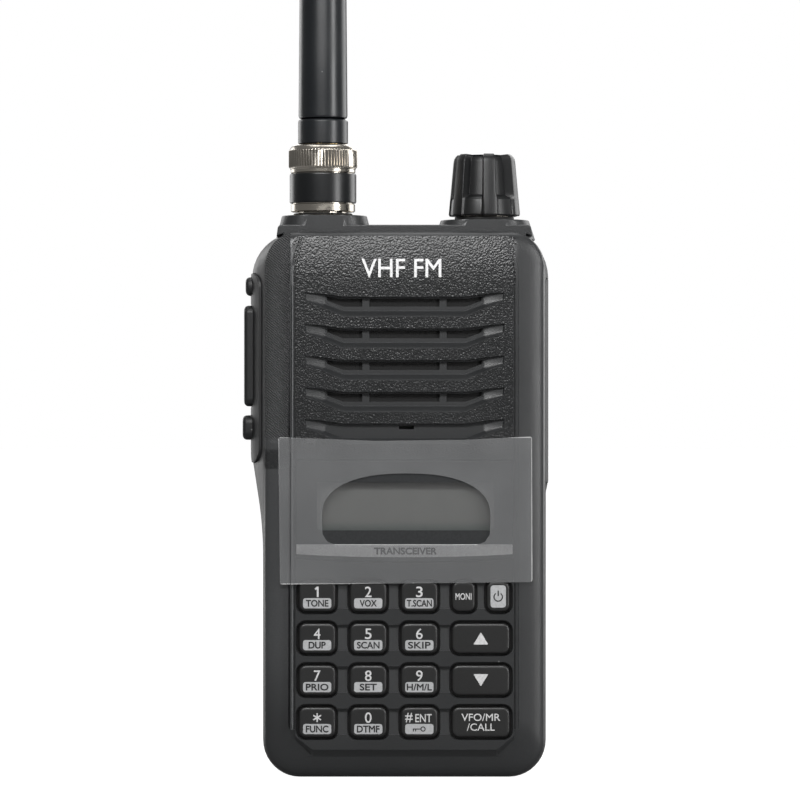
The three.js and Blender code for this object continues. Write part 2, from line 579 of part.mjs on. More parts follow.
// ---- Battery ----
function batteryShell() {
  const side = rounded([
    [BATTERY.shellFront, BATTERY.bottom],
    [BACK, BATTERY.bottom, 2],
    [BACK, BATTERY.top - 6, 2],
    [BACK - 4.25, BATTERY.top, 2],
    [BATTERY.shellFront, BATTERY.top],
  ]);
  const insideWidth = BATTERY.half - BATTERY.wall;
  const insideSide = rounded([
    [BATTERY.shellFront - 1, BATTERY.bottom + 4.7],
    [BACK - BATTERY.wall, BATTERY.bottom + 4.7],
    [BACK - BATTERY.wall, BATTERY.top - 6.8],
    [BACK - 4.25 - BATTERY.wall / 2, BATTERY.top - BATTERY.wall],
    [BATTERY.shellFront - 1, BATTERY.top - BATTERY.wall],
  ]);
  const width = slab(rounded([
    [-BATTERY.half, BATTERY.shellFront - 1],
    [BATTERY.half, BATTERY.shellFront - 1],
    [BATTERY.half, BACK, 4],
    [-BATTERY.half, BACK, 4],
  ]), -5, 120);
  const front = plate(bodyOutline({ left: -BATTERY.half, right: BATTERY.half, halfLow: BATTERY.half,
    foot: BATTERY.bottom, top: BATTERY.top, corner: CORNER.low - 1 }), BATTERY.shellFront, BACK + 1);
  const block = toSolid(sidePlate(side, -BATTERY.half - 1, BATTERY.half + 1)).intersect(toSolid(width));
  return cut(
    toGeometry(block.intersect(toSolid(front))),
    sidePlate(insideSide, -insideWidth, insideWidth),
    box(-LATCH.half - 0.4, LATCH.half + 0.4, 0, LATCH.back + LATCH.travel + 0.4, -5, LATCH.high + 0.4),
  );
}

function batteryLid() {
  const outline = bodyOutline({ left: -BATTERY.half, right: BATTERY.half, halfLow: BATTERY.half,
    foot: BATTERY.bottom, top: BATTERY.top, corner: CORNER.low - 1 });
  const reach = LUG.length / 2 + 0.4;
  const pockets = lugSites.flatMap(([x, z]) => [
    box(x - LUG.stem - 0.4, x + LUG.stem + 0.4, 0, 4, z - reach, z + reach + BATTERY_TRAVEL),
    box(x - LUG.head - 0.4, x + LUG.head + 0.4, LUG.neckEnd - 0.3, LUG.capEnd + 0.3, z - reach,
      z + reach + BATTERY_TRAVEL),
    box(x - LUG.head - 0.5, x + LUG.head + 0.5, 0, LUG.capEnd + 0.3, z - reach + BATTERY_TRAVEL,
      z + reach + BATTERY_TRAVEL),
  ]);
  return cut(
    plate(outline, BATTERY.front, BATTERY.lidBack),
    ...pockets,
    box(-LATCH.half - 0.4, LATCH.half + 0.4, 0, 20, -5, LATCH.high + 0.4),
  );
}

add("battery_shell", batteryShell(), SHELL);
add("battery_lid", batteryLid(), SHELL);
[7, 50.5].forEach((z, i) => {
  add(`battery_cell_${i + 1}`, plate(roundedBox(-24.5, 24.5, z, z + 42.5, 2), 6.2, 16), FOIL);
});
add("battery_board", box(-18, 18, 6.4, 12, 94.2, 95.4), BOARD);
add("battery_latch", box(-LATCH.half, LATCH.half, LATCH.front, LATCH.back, LATCH.low, LATCH.high), RUBBER);
add("battery_terminals", join(
  box(-TERMINALS.half, TERMINALS.half, -1.5, CHASSIS.back - 0.05, TERMINALS.low, TERMINALS.high),
  ...[-4, 0, 4].map((x) => (
    box(x - 0.9, x + 0.9, 1.5, CHASSIS.back + 0.15, TERMINALS.low + 1, TERMINALS.high - 1)
  )),
), GOLD);

export default radio;
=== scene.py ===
"""The handheld radio's looks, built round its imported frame.

Sizes are in millimetres unless a comment says otherwise.
"""
import json
import math

import bmesh
import bpy
from mathutils import Matrix, Vector


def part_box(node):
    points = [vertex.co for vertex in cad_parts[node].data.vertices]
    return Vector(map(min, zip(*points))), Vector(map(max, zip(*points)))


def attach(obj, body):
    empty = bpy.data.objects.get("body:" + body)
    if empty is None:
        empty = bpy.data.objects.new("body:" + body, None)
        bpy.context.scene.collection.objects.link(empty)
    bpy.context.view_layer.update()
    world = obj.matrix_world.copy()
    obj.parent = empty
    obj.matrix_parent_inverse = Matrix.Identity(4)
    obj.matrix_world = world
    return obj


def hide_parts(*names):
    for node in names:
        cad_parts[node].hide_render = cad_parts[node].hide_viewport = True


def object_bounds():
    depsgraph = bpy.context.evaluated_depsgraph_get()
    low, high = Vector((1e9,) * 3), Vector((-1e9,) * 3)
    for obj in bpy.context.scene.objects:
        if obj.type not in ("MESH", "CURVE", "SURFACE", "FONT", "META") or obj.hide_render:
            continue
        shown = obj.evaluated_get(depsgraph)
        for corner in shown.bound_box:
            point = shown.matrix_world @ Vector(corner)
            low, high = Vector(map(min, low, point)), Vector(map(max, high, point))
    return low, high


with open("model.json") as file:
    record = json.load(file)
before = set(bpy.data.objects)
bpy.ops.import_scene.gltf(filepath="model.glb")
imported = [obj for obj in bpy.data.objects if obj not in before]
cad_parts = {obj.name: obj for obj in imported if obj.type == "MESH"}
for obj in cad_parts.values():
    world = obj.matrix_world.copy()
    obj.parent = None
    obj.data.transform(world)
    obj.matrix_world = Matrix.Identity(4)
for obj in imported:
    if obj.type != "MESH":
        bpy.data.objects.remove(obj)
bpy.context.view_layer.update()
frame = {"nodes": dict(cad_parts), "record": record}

MM = 0.001


def span(node):
    """A CAD node's lowest and highest corner, in millimetres."""
    low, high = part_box(node)
    return low / MM, high / MM


# ---- Places taken from the frame ----
CASE_LOW, CASE_HIGH = span("front_case")
CHASSIS_LOW, CHASSIS_HIGH = span("rear_chassis")
LENS_LOW, LENS_HIGH = span("display_lens")
FILM_LOW, FILM_HIGH = span("protective_film")
FLAP_LOW, FLAP_HIGH = span("jack_cover")
BATTERY_LOW, BATTERY_HIGH = span("battery_shell")
LID_LOW, LID_HIGH = span("battery_lid")
LATCH_LOW, LATCH_HIGH = span("battery_latch")
PTT_LOW, PTT_HIGH = span("ptt_key")
PAD_LOW, PAD_HIGH = span("ptt_surround")
KNOB_LOW, KNOB_HIGH = span("volume_knob")
SLEEVE_LOW, SLEEVE_HIGH = span("coupling_sleeve")
BAND_LOW, BAND_HIGH = span("coupling_band")
FERRULE_LOW, FERRULE_HIGH = span("antenna_ferrule")
WHIP_LOW, WHIP_HIGH = span("antenna_whip")

FRONT = CASE_LOW.y  # the raised centre panel's face
RIM = CASE_HIGH.y  # the front case's rear edge
TOP = CASE_HIGH.z
HALF = 28.8  # half the width of the lower body
LEFT = CASE_LOW.x
RIGHT = CASE_HIGH.x
KNOB_AXIS = Vector(((KNOB_LOW.x + KNOB_HIGH.x) / 2, (KNOB_LOW.y + KNOB_HIGH.y) / 2))
ANTENNA_AXIS = Vector(((SLEEVE_LOW.x + SLEEVE_HIGH.x) / 2, (SLEEVE_LOW.y + SLEEVE_HIGH.y) / 2))


# ---- Outlines ----
def rounded(corners, steps=6):
    """An anticlockwise outline through (u, v, radius) corners."""
    outline = []
    for i, (u, v, radius) in enumerate(corners):
        here = Vector((u, v))
        if not radius:
            outline.append(here)
            continue
        back = (Vector(corners[i - 1][:2]) - here).normalized()
        on = (Vector(corners[(i + 1) % len(corners)][:2]) - here).normalized()
        half = back.angle(on) / 2
        if half > math.pi / 2 - 0.002:
            outline += [here + (on - back) * radius * 0.2 * (k / steps - 0.5) for k in range(steps + 1)]
            continue
        centre = here + (back + on).normalized() * (radius / math.sin(half))
        first = here + back * (radius / math.tan(half)) - centre
        last = here + on * (radius / math.tan(half)) - centre
        start = math.atan2(first.y, first.x)
        sweep = math.atan2(first.x * last.y - first.y * last.x, first.dot(last))
        for k in range(steps + 1):
            angle = start + sweep * k / steps
            outline.append(centre + ray(angle) * radius)
    return outline


def box_outline(u0, u1, v0, v1, radius=0.0, steps=4):
    return rounded([(u0, v0, radius), (u1, v0, radius), (u1, v1, radius), (u0, v1, radius)], steps)


def ray(angle):
    """The unit vector at an angle."""
    return Vector((math.cos(angle), math.sin(angle)))


def round_outline(centre, radius, steps=32):
    turns = [2 * math.pi * k / steps for k in range(steps)]
    return [Vector(centre) + ray(t) * radius for t in turns]


def grown(outline, amount):
    """The outline moved outwards, or inwards where the amount is negative."""
    moved = []
    for i, here in enumerate(outline):
        back = (here - outline[i - 1]).normalized()
        on = (outline[(i + 1) % len(outline)] - here).normalized()
        first = Vector((back.y, -back.x))
        second = Vector((on.y, -on.x))
        moved.append(here + (first + second) * (amount / (1 + first.dot(second))))
    return moved


def mirrored(points):
    """The points, then their mirror images in reverse, so that they close an outline."""
    return [Vector(p) for p in points] + [Vector((-u, v)) for u, v in reversed(points)]


# ---- Solids ----
def linked(name, data):
    """A new object in the scene, holding a mesh, curve, lamp or camera."""
    made = bpy.data.objects.new(name, data)
    bpy.context.scene.collection.objects.link(made)
    return made


def shaped(skin, name):
    """A working object from a bmesh."""
    mesh = bpy.data.meshes.new(name)
    skin.to_mesh(mesh)
    skin.free()
    return linked(name, mesh)


def solid(skin, name="part"):
    """A working object from a bmesh, with its faces turned outwards."""
    bmesh.ops.recalc_face_normals(skin, faces=skin.faces)
    return shaped(skin, name)


def banded(skin, rings, closed=False):
    """A solid through rings of corners with equal counts, capped at both ends unless it closes on itself."""
    for near, far in zip(rings, rings[1:] + (rings[:1] if closed else [])):
        for i in range(len(near)):
            j = (i + 1) % len(near)
            skin.faces.new((near[i], near[j], far[j], far[i]))
    if not closed:
        skin.faces.new(rings[0])
        skin.faces.new(rings[-1])
    return solid(skin)


PLACES = {
    "x": lambda u, v, level: (level, u, v),
    "y": lambda u, v, level: (u, level, v),
    "z": lambda u, v, level: (u, v, level),
}


def lofted(sections, axis="y"):
    """A closed skin through (level, outline) sections along an axis. The outlines have equal point counts."""
    place = PLACES[axis]
    skin = bmesh.new()
    rings = [[skin.verts.new(place(p.x, p.y, level)) for p in outline] for level, outline in sections]
    return banded(skin, rings)


def plate(outline, near, far, axis="y"):
    return lofted([(near, outline), (far, outline)], axis)


def eased_plate(outline, near, far, ease, axis="y", both=False, rows=3):
    """A plate whose near edge, and its far one where asked, is rounded over. Near is the outer face."""
    way = 1 if far > near else -1
    turns = [math.pi / 2 * k / rows for k in range(rows + 1)]
    sections = [(near + way * ease * (1 - math.sin(t)), grown(outline, -ease * (1 - math.cos(t))))
                for t in turns]
    sections.reverse()
    if both:
        sections += [(far - way * ease * (1 - math.sin(t)), grown(outline, -ease * (1 - math.cos(t))))
                     for t in turns]
    else:
        sections.append((far, outline))
    return lofted(sections, axis)


def box(x0, x1, y0, y1, z0, z1):
    return plate(box_outline(x0, x1, z0, z1), y0, y1)


def turned(profile, centre, steps=64, ring=False):
    """A solid of revolution: its (radius, height) profile runs from axis to axis, or is a ring."""
    skin = bmesh.new()
    rows = []
    for radius, height in profile:
        if radius < 1e-6:
            rows.append([skin.verts.new((centre.x, centre.y, height))])
            continue
        turns = [2 * math.pi * k / steps for k in range(steps)]
        rows.append([skin.verts.new((centre.x + radius * math.cos(t), centre.y + radius * math.sin(t),
                                     height))
                     for t in turns])
    pairs = list(zip(rows, rows[1:]))
    if ring:
        pairs.append((rows[-1], rows[0]))
    for low, high in pairs:
        for i in range(steps):
            j = (i + 1) % steps
            corners = [low[i % len(low)], low[j % len(low)], high[j % len(high)], high[i % len(high)]]
            skin.faces.new(list(dict.fromkeys(corners)))
    return solid(skin)


def rod(axis, radius, near, far, centre, steps=32, ease=0.0):
    outline = round_outline(centre, radius, steps)
    if ease:
        return eased_plate(outline, near, far, ease, axis)
    return plate(outline, near, far, axis)


def merged(parts):
    """One object holding every part's faces."""
    whole = bmesh.new()
    for part in parts:
        whole.from_mesh(part.data)
        bpy.data.objects.remove(part)
    return shaped(whole, "merged")


def settled(made):
    """The object with its modifiers applied."""
    graph = bpy.context.evaluated_depsgraph_get()
    mesh = bpy.data.meshes.new_from_object(made.evaluated_get(graph))
    made.modifiers.clear()
    made.data = mesh
    return made


def combined(base, tools, operation):
    tool = merged(tools)
    change = base.modifiers.new(operation, "BOOLEAN")
    change.operation = operation
    change.solver = "EXACT"
    change.object = tool
    settled(base)
    bpy.data.objects.remove(tool)
    return base


def cut(base, *tools):
    """Cuts tools that don't touch each other out of the base."""
    return combined(base, tools, "DIFFERENCE")


def joined(base, *tools):
    return combined(base, tools, "UNION")


def shared(base, tool):
    return combined(base, [tool], "INTERSECT")


def softened(made, width, segments=2, angle=40):
    """Rounds the edges that turn more than an angle."""
    change = made.modifiers.new("softened", "BEVEL")
    change.width = width
    change.segments = segments
    change.limit_method = "ANGLE"
    change.angle_limit = math.radians(angle)
    change.harden_normals = False
    return settled(made)


def sliced(made, axis, levels):
    """Adds edges where planes across an axis cut the surface."""
    normal = Vector([float(letter == axis) for letter in "xyz"])
    skin = bmesh.new()
    skin.from_mesh(made.data)
    for level in levels:
        everything = skin.verts[:] + skin.edges[:] + skin.faces[:]
        bmesh.ops.bisect_plane(skin, geom=everything, plane_co=normal * level, plane_no=normal)
    skin.to_mesh(made.data)
    skin.free()
    return made


def tidied(made):
    """The object without doubled corners or slivers."""
    skin = bmesh.new()
    skin.from_mesh(made.data)
    bmesh.ops.remove_doubles(skin, verts=skin.verts, dist=1e-4)
    bmesh.ops.dissolve_degenerate(skin, edges=skin.edges, dist=1e-4)
    skin.to_mesh(made.data)
    skin.free()
    return made


def painted(made, *rules):
    """Gives each face the first material whose rule, on its centre and normal, holds. None always holds."""
    made.data.materials.clear()
    for material, _ in rules:
        made.data.materials.append(material)
    for face in made.data.polygons:
        face.material_index = next(i for i, (_, rule) in enumerate(rules) if rule is None
                                   or rule(face.center, face.normal))
    return made


def piece(name, made, body, material=None, stands_for=(), crisp=35):
    """Puts a finished shape in the model, in metres, on its body and in place of the nodes it stands for."""
    tidied(made)
    made.data.transform(Matrix.Scale(MM, 4))
    made.name = name
    made.data.name = name
    if material:
        made.data.materials.clear()
        made.data.materials.append(material)
    made.data.shade_smooth()
    made.data.set_sharp_from_angle(angle=math.radians(crisp))
    made.modifiers.new("even shading", "WEIGHTED_NORMAL").keep_sharp = True
    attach(made, body)
    if stands_for:
        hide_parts(*stands_for)
    return made


# ---- Shader groups ----
class Graph:
    """Adds nodes and links to a node tree, working in columns from left to right."""

    def __init__(self, tree):
        self.tree = tree
        self.column = 0

    def add(self, kind, links=None, **settings):
        node = self.tree.nodes.new(kind)
        node.location = (self.column * 180, 0)
        self.column += 1
        for key, value in settings.items():
            setattr(node, key, value)
        self.feed(node, links or {})
        return node

    def feed(self, node, links):
        """Links sockets to a node's inputs, and sets plain values on them."""
        for key, value in links.items():
            if isinstance(value, bpy.types.NodeSocket):
                self.tree.links.new(value, node.inputs[key])
            else:
                node.inputs[key].default_value = value

    def place(self):
        """Where a point lies in its object's own space."""
        return self.add("ShaderNodeTexCoord").outputs["Object"]

    def math(self, operation, first, second=0.0, clamp=False):
        return self.add("ShaderNodeMath", {0: first, 1: second}, operation=operation,
                        use_clamp=clamp).outputs[0]

    def ramp(self, value, low, high, to_low=0.0, to_high=1.0):
        links = {"Value": value, "From Min": low, "From Max": high, "To Min": to_low, "To Max": to_high}
        return self.add("ShaderNodeMapRange", links, interpolation_type="SMOOTHSTEP").outputs["Result"]

    def mix(self, factor, first, second):
        """Blends two colours; the node's sockets 0, 6 and 7 are its factor and its two colours."""
        return self.add("ShaderNodeMix", {0: factor, 6: first, 7: second}, data_type="RGBA").outputs[2]


def group(name, inputs, outputs, build):
    """A shader node group. Inputs map a name to a type and a default, outputs a name to a type."""
    tree = bpy.data.node_groups.new(name, "ShaderNodeTree")
    for key, (kind, value) in inputs.items():
        socket = tree.interface.new_socket(key, in_out="INPUT", socket_type="NodeSocket" + kind)
        if value is not None:
            socket.default_value = value
    for key, kind in outputs.items():
        tree.interface.new_socket(key, in_out="OUTPUT", socket_type="NodeSocket" + kind)
    graph = Graph(tree)
    entry = graph.add("NodeGroupInput").outputs
    results = build(graph, entry)
    exit_node = graph.add("NodeGroupOutput")
    for key, socket in results.items():
        tree.links.new(socket, exit_node.inputs[key])
    return tree


def moulded_grain(graph, entry):
    """The fine spark-eroded grain of a mould, with slow changes in gloss."""
    place = graph.place()
    grain = graph.add("ShaderNodeTexNoise", {"Vector": place, "Scale": entry["Scale"], "Detail": 2.0})
    drift = graph.add("ShaderNodeTexNoise", {"Vector": place, "Scale": 90.0, "Detail": 3.0})
    bump = graph.add("ShaderNodeBump", {"Height": grain.outputs["Fac"], "Strength": entry["Strength"],
                                        "Distance": entry["Depth"]})
    gloss = graph.math("MULTIPLY", graph.math("SUBTRACT", drift.outputs["Fac"], 0.5), 0.15)
    return {"Normal": bump.outputs["Normal"], "Gloss drift": gloss, "Grain": grain.outputs["Fac"]}


def pebble(graph, entry):
    """Leather-like pebbles: rounded cells of uneven size, fading out below a given height on the body."""
    place = graph.place()
    warp = graph.add("ShaderNodeTexNoise", {"Vector": place, "Scale": 900.0, "Detail": 1.0})
    shift = graph.add("ShaderNodeVectorMath", {0: warp.outputs["Color"], "Scale": 0.0003}, operation="SCALE")
    bent = graph.add("ShaderNodeVectorMath", {0: place, 1: shift.outputs[0]}, operation="ADD")
    cells = graph.add("ShaderNodeTexVoronoi", {"Vector": bent.outputs[0], "Scale": entry["Scale"],
                                               "Smoothness": 0.6}, feature="SMOOTH_F1")
    height = graph.math("SUBTRACT", 1.0, cells.outputs["Distance"])
    split = graph.add("ShaderNodeSeparateXYZ", {"Vector": place})
    reach = graph.ramp(split.outputs["Z"], 0.0645, 0.0665)
    amount = graph.math("MULTIPLY", reach, entry["Strength"])
    bump = graph.add("ShaderNodeBump", {"Height": height, "Strength": amount, "Distance": entry["Depth"]})
    return {"Normal": bump.outputs["Normal"], "Crest": height, "Reach": reach}


def hatch(graph, entry):
    """Fine slanting ridges, as a moulded grip texture has."""
    place = graph.place()
    turn = graph.add("ShaderNodeMapping", {"Vector": place, "Rotation": (0.0, math.radians(-38), 0.0)})
    lines = graph.add("ShaderNodeTexWave",
                      {"Vector": turn.outputs[0], "Scale": entry["Scale"], "Distortion": 0.0},
                      bands_direction="Z")
    split = graph.add("ShaderNodeSeparateXYZ", {"Vector": place})
    smooth = graph.ramp(split.outputs["Z"], 0.0675, 0.0705, 1.0, 0.0)
    crest = graph.math("MAXIMUM", lines.outputs["Fac"], smooth)
    bump = graph.add("ShaderNodeBump",
                     {"Height": crest, "Strength": entry["Strength"], "Distance": entry["Depth"]})
    reach = graph.ramp(split.outputs["Z"], 0.008, 0.03)
    return {"Normal": bump.outputs["Normal"], "Crest": crest, "Reach": reach}


def edge_rub_and_highlight(graph, entry):
    """A mask along sharp edges, for rubbed wear and a painted highlight: where the surface turns sharply,
    broken up by noise.
    """
    place = graph.place()
    bevel = graph.add("ShaderNodeBevel", {"Radius": entry["Width"]}, samples=4)
    true = graph.add("ShaderNodeNewGeometry").outputs["Normal"]
    agree = graph.add("ShaderNodeVectorMath", {0: bevel.outputs[0], 1: true}, operation="DOT_PRODUCT")
    sharp = graph.math("SUBTRACT", 1.0, agree.outputs["Value"], clamp=True)
    patchy = graph.add("ShaderNodeTexNoise", {"Vector": place, "Scale": 700.0, "Detail": 3.0})
    broken = graph.ramp(patchy.outputs["Fac"], 0.35, 0.7, 0.3, 1.0)
    rubbed_and_lit = graph.math("MULTIPLY", graph.math("MULTIPLY", sharp, 4.0), broken)
    return {"Mask": graph.math("MULTIPLY", rubbed_and_lit, entry["Amount"], clamp=True)}


def dust(graph, entry):
    """Sparse pale specks."""
    place = graph.place()
    specks = graph.add("ShaderNodeTexVoronoi", {"Vector": place, "Scale": 420.0, "Randomness": 1.0})
    small = graph.ramp(specks.outputs["Distance"], 0.05, 0.09, 1.0, 0.0)
    rare = graph.add("ShaderNodeSeparateColor", {"Color": specks.outputs["Color"]})
    few = graph.ramp(rare.outputs[0], 0.9, 0.97)
    return {"Mask": graph.math("MULTIPLY", graph.math("MULTIPLY", small, few), entry["Amount"], clamp=True)}


FLOAT = ("Float", 0.5)
GRAIN = group("Moulded grain", {"Scale": ("Float", 4500.0), "Strength": FLOAT, "Depth": ("Float", 0.00003)},
              {"Normal": "Vector", "Gloss drift": "Float", "Grain": "Float"}, moulded_grain)
PEBBLE = group("Pebble", {"Scale": ("Float", 2700.0), "Strength": FLOAT, "Depth": ("Float", 0.00009)},
               {"Normal": "Vector", "Crest": "Float", "Reach": "Float"}, pebble)
HATCH = group("Hatch", {"Scale": ("Float", 760.0), "Strength": FLOAT, "Depth": ("Float", 0.0002)},
              {"Normal": "Vector", "Crest": "Float", "Reach": "Float"}, hatch)
RUB_AND_HIGHLIGHT = group("Edge rub", {"Width": ("Float", 0.0003), "Amount": FLOAT}, {"Mask": "Float"}, edge_rub_and_highlight)
DUST = group("Dust", {"Amount": FLOAT}, {"Mask": "Float"}, dust)


# ---- Materials ----
def grey(level, warmth=0.0):
    """A linear colour from an sRGB grey level out of 255, a little warmer or cooler."""
    def linear(value):
        share = value / 255
        return share / 12.92 if share <= 0.04045 else ((share + 0.055) / 1.055) ** 2.4
    return (linear(level + warmth), linear(level), linear(level - warmth), 1.0)


def toned(colour, share):
    """The colour with its brightness scaled, no brighter than white."""
    return tuple(min(1.0, channel * share) for channel in colour[:3]) + (1.0,)


def start(name):
    material = bpy.data.materials.new(name)
    material.use_nodes = True
    graph = Graph(material.node_tree)
    shader = material.node_tree.nodes["Principled BSDF"]
    return material, graph, shader


def placed(graph, tree, **values):
    node = graph.add("ShaderNodeGroup", node_tree=tree)
    for key, value in values.items():
        node.inputs[key].default_value = value
    return node.outputs


def moulded(name, colour, rough, grain=0.5, scale=4500.0, rub_and_highlight=0.35, rub_and_highlight_colour=None, gloss=0.5, texture=None,
            specks=0.5):
    """Moulded plastic or rubber: fine grain, drifting gloss, edges painted lighter for rubbed wear and a
    painted highlight, painted shade in the hollows of a relief texture, and a few dust specks.
    """
    material, graph, shader = start(name)
    fine = placed(graph, GRAIN, Scale=scale, Strength=grain)
    normal = fine["Normal"]
    if texture:
        tree, values = texture
        relief = placed(graph, tree, **values)
        normal = relief["Normal"]
    worn_and_lit = placed(graph, RUB_AND_HIGHLIGHT, Amount=rub_and_highlight)["Mask"]
    tone = graph.mix(graph.ramp(fine["Grain"], 0.3, 0.7), toned(colour, 0.82), colour)
    if texture:
        # Painted shade: the hollows of the relief texture are darkened as if shaded.
        hollow = graph.ramp(relief["Crest"], 0.5, 0.85, 0.6, 0.0)
        tone = graph.mix(hollow, tone, toned(colour, 0.3))
        tone = graph.mix(relief["Reach"], grey(40, -1), tone)
    # Sharp edges painted lighter: partly rubbed wear, partly a painted highlight where the edges catch light.
    tone = graph.mix(worn_and_lit, tone, rub_and_highlight_colour or toned(colour, 2.6))
    tone = graph.mix(placed(graph, DUST, Amount=specks)["Mask"], tone, grey(150))
    graph.feed(shader, {"Base Color": tone})
    rough_drift = graph.math("ADD", fine["Gloss drift"], rough)
    graph.feed(shader, {"Roughness": rough_drift, "Normal": normal, "Specular IOR Level": gloss})
    return material


def plated(name, colour, rough, scale=2500.0, depth=0.00001):
    """Bright metal with faint turning marks."""
    material, graph, shader = start(name)
    place = graph.place()
    stretch = graph.add("ShaderNodeMapping", {"Vector": place, "Scale": (1.0, 1.0, 12.0)})
    marks = graph.add("ShaderNodeTexNoise", {"Vector": stretch.outputs[0], "Scale": scale, "Detail": 2.0})
    stain = graph.add("ShaderNodeTexNoise", {"Vector": place, "Scale": 300.0, "Detail": 4.0})
    dull = graph.ramp(stain.outputs["Fac"], 0.4, 0.75)
    tone = graph.mix(dull, colour, toned(colour, 0.8))
    graph.feed(shader, {"Base Color": tone, "Roughness": graph.ramp(dull, 0.0, 1.0, rough, rough + 0.12)})
    bump = graph.add("ShaderNodeBump", {"Height": marks.outputs["Fac"], "Strength": 0.4, "Distance": depth})
    graph.feed(shader, {"Normal": bump.outputs["Normal"], "Metallic": 1.0})
    return material


def printed(name, colour, rough=0.45):
    """Printing ink: nearly even, with a slight mottle."""
    material, graph, shader = start(name)
    place = graph.place()
    mottle = graph.add("ShaderNodeTexNoise", {"Vector": place, "Scale": 2200.0, "Detail": 2.0})
    tone = graph.mix(graph.ramp(mottle.outputs["Fac"], 0.35, 0.7), colour, toned(colour, 0.86))
    graph.feed(shader, {"Base Color": tone, "Roughness": rough})
    return material


def sheer(name, colour, alpha, rough, haze_scale=260.0):
    """A thin clear or hazy sheet: partly see-through, with drifting haze."""
    material, graph, shader = start(name)
    place = graph.place()
    haze = graph.add("ShaderNodeTexNoise", {"Vector": place, "Scale": haze_scale, "Detail": 3.0})
    thick = graph.ramp(haze.outputs["Fac"], 0.3, 0.75, alpha * 0.9, alpha * 1.12)
    graph.feed(shader, {"Alpha": thick})
    tone = graph.mix(haze.outputs["Fac"], colour, toned(colour, 1.12))
    graph.feed(shader, {"Base Color": tone})
    bump = graph.add("ShaderNodeBump", {"Height": haze.outputs["Fac"], "Strength": 0.1, "Distance": 0.00002})
    graph.feed(shader, {"Normal": bump.outputs["Normal"], "Roughness": rough})
    return material


def crystal():
    """The unlit display: grey, with shade painted along its bottom edge, darker and greener there."""
    material, graph, shader = start("liquid crystal")
    place = graph.place()
    height = graph.add("ShaderNodeSeparateXYZ", {"Vector": place}).outputs["Z"]
    # Painted shade: the display goes darker towards its bottom edge, below the bezel.
    lower = graph.ramp(height, 0.0495, 0.0525)
    fine = graph.add("ShaderNodeTexNoise", {"Vector": place, "Scale": 3000.0, "Detail": 1.0})
    tone = graph.mix(lower, (0.055, 0.07, 0.066, 1.0), (0.13, 0.132, 0.128, 1.0))
    tone = graph.mix(graph.ramp(fine.outputs["Fac"], 0.4, 0.6, 0.0, 0.12), tone, (0.12, 0.12, 0.12, 1.0))
    graph.feed(shader, {"Base Color": tone, "Roughness": 0.35})
    return material


def woven(name, colour):
    """A fine plain weave."""
    material, graph, shader = start(name)
    place = graph.place()
    across = graph.add("ShaderNodeTexWave", {"Vector": place, "Scale": 1400.0}, bands_direction="X")
    along = graph.add("ShaderNodeTexWave", {"Vector": place, "Scale": 1400.0}, bands_direction="Z")
    weave = graph.math("MAXIMUM", across.outputs["Fac"], along.outputs["Fac"])
    tone = graph.mix(weave, toned(colour, 0.4), colour)
    graph.feed(shader, {"Base Color": tone})
    bump = graph.add("ShaderNodeBump", {"Height": weave, "Strength": 0.6, "Distance": 0.00005})
    graph.feed(shader, {"Normal": bump.outputs["Normal"], "Roughness": 0.95})
    return material


def board():
    """Solder mask with faint copper tracks beneath."""
    material, graph, shader = start("circuit board")
    place = graph.place()
    tracks = graph.add("ShaderNodeTexVoronoi", {"Vector": place, "Scale": 300.0}, distance="MANHATTAN")
    line = graph.ramp(tracks.outputs["Distance"], 0.3, 0.36)
    tone = graph.mix(line, (0.01, 0.09, 0.04, 1.0), (0.02, 0.15, 0.07, 1.0))
    graph.feed(shader, {"Base Color": tone})
    bump = graph.add("ShaderNodeBump", {"Height": line, "Strength": 0.3, "Distance": 0.00003})
    graph.feed(shader, {"Normal": bump.outputs["Normal"], "Roughness": 0.35})
    return material


CASE_SMOOTH = moulded("case plastic", grey(42, -1), 0.4, grain=0.4)
CASE_PEBBLE = moulded("case pebble", grey(40, -1), 0.3, texture=(PEBBLE, {"Strength": 0.85}), specks=0.2)
CASE_HATCH = moulded("case hatch", grey(66, -1), 0.4, texture=(HATCH, {"Strength": 1.0}))
# Painted shade: the left side alone gets this darker copy of the case plastic, for the shade on that side.
CASE_SIDE_SHADE = moulded("case side", grey(20, -1), 0.42, grain=0.5)
# Painted highlight: a much lighter copy of the case plastic for the narrow ridge beside the panel's left
# groove, where light catches it.
CASE_RIDGE_HIGHLIGHT = moulded("case ridge", grey(96, -1), 0.35, grain=0.3)
CHASSIS_PAINT = moulded("chassis paint", grey(42, -1), 0.4, grain=0.7, scale=2600.0)
BATTERY_PLASTIC = moulded("battery plastic", grey(34, -1), 0.46, grain=0.8, scale=2600.0)
SIDE_RUBBER = moulded("side rubber", grey(22, -1), 0.5, grain=0.6, scale=3000.0)
KEY_CAP = moulded("key cap", grey(34, 0), 0.36, grain=0.25)
KEY_WELL = moulded("key mat", grey(12), 0.7)
KNOB_PLASTIC = moulded("knob plastic", grey(16, -1), 0.38, grain=0.2)
BAND_PLASTIC = moulded("band plastic", grey(16, -2), 0.3, grain=0.1)
WHIP_SHEATH = moulded("whip sheath", grey(24, -3), 0.3, grain=0.12, scale=1800.0)
SEAL_RUBBER = moulded("seal rubber", grey(16), 0.7)
PALE_PLASTIC = moulded("pale plastic", grey(215, 1), 0.5, rub_and_highlight=0.0, specks=0.0)
WHITE_INK = printed("white ink", grey(222))
LEGEND_INK = printed("legend ink", grey(204))
PILL_INK = printed("pill ink", grey(176, -1))
DARK_INK = printed("dark ink", grey(30))
SILVER_INK = printed("silver ink", grey(186), 0.35)
MASK_INK = printed("window mask", grey(52, -1), 0.15)
NICKEL = plated("warm nickel", (0.5, 0.465, 0.41, 1.0), 0.2)
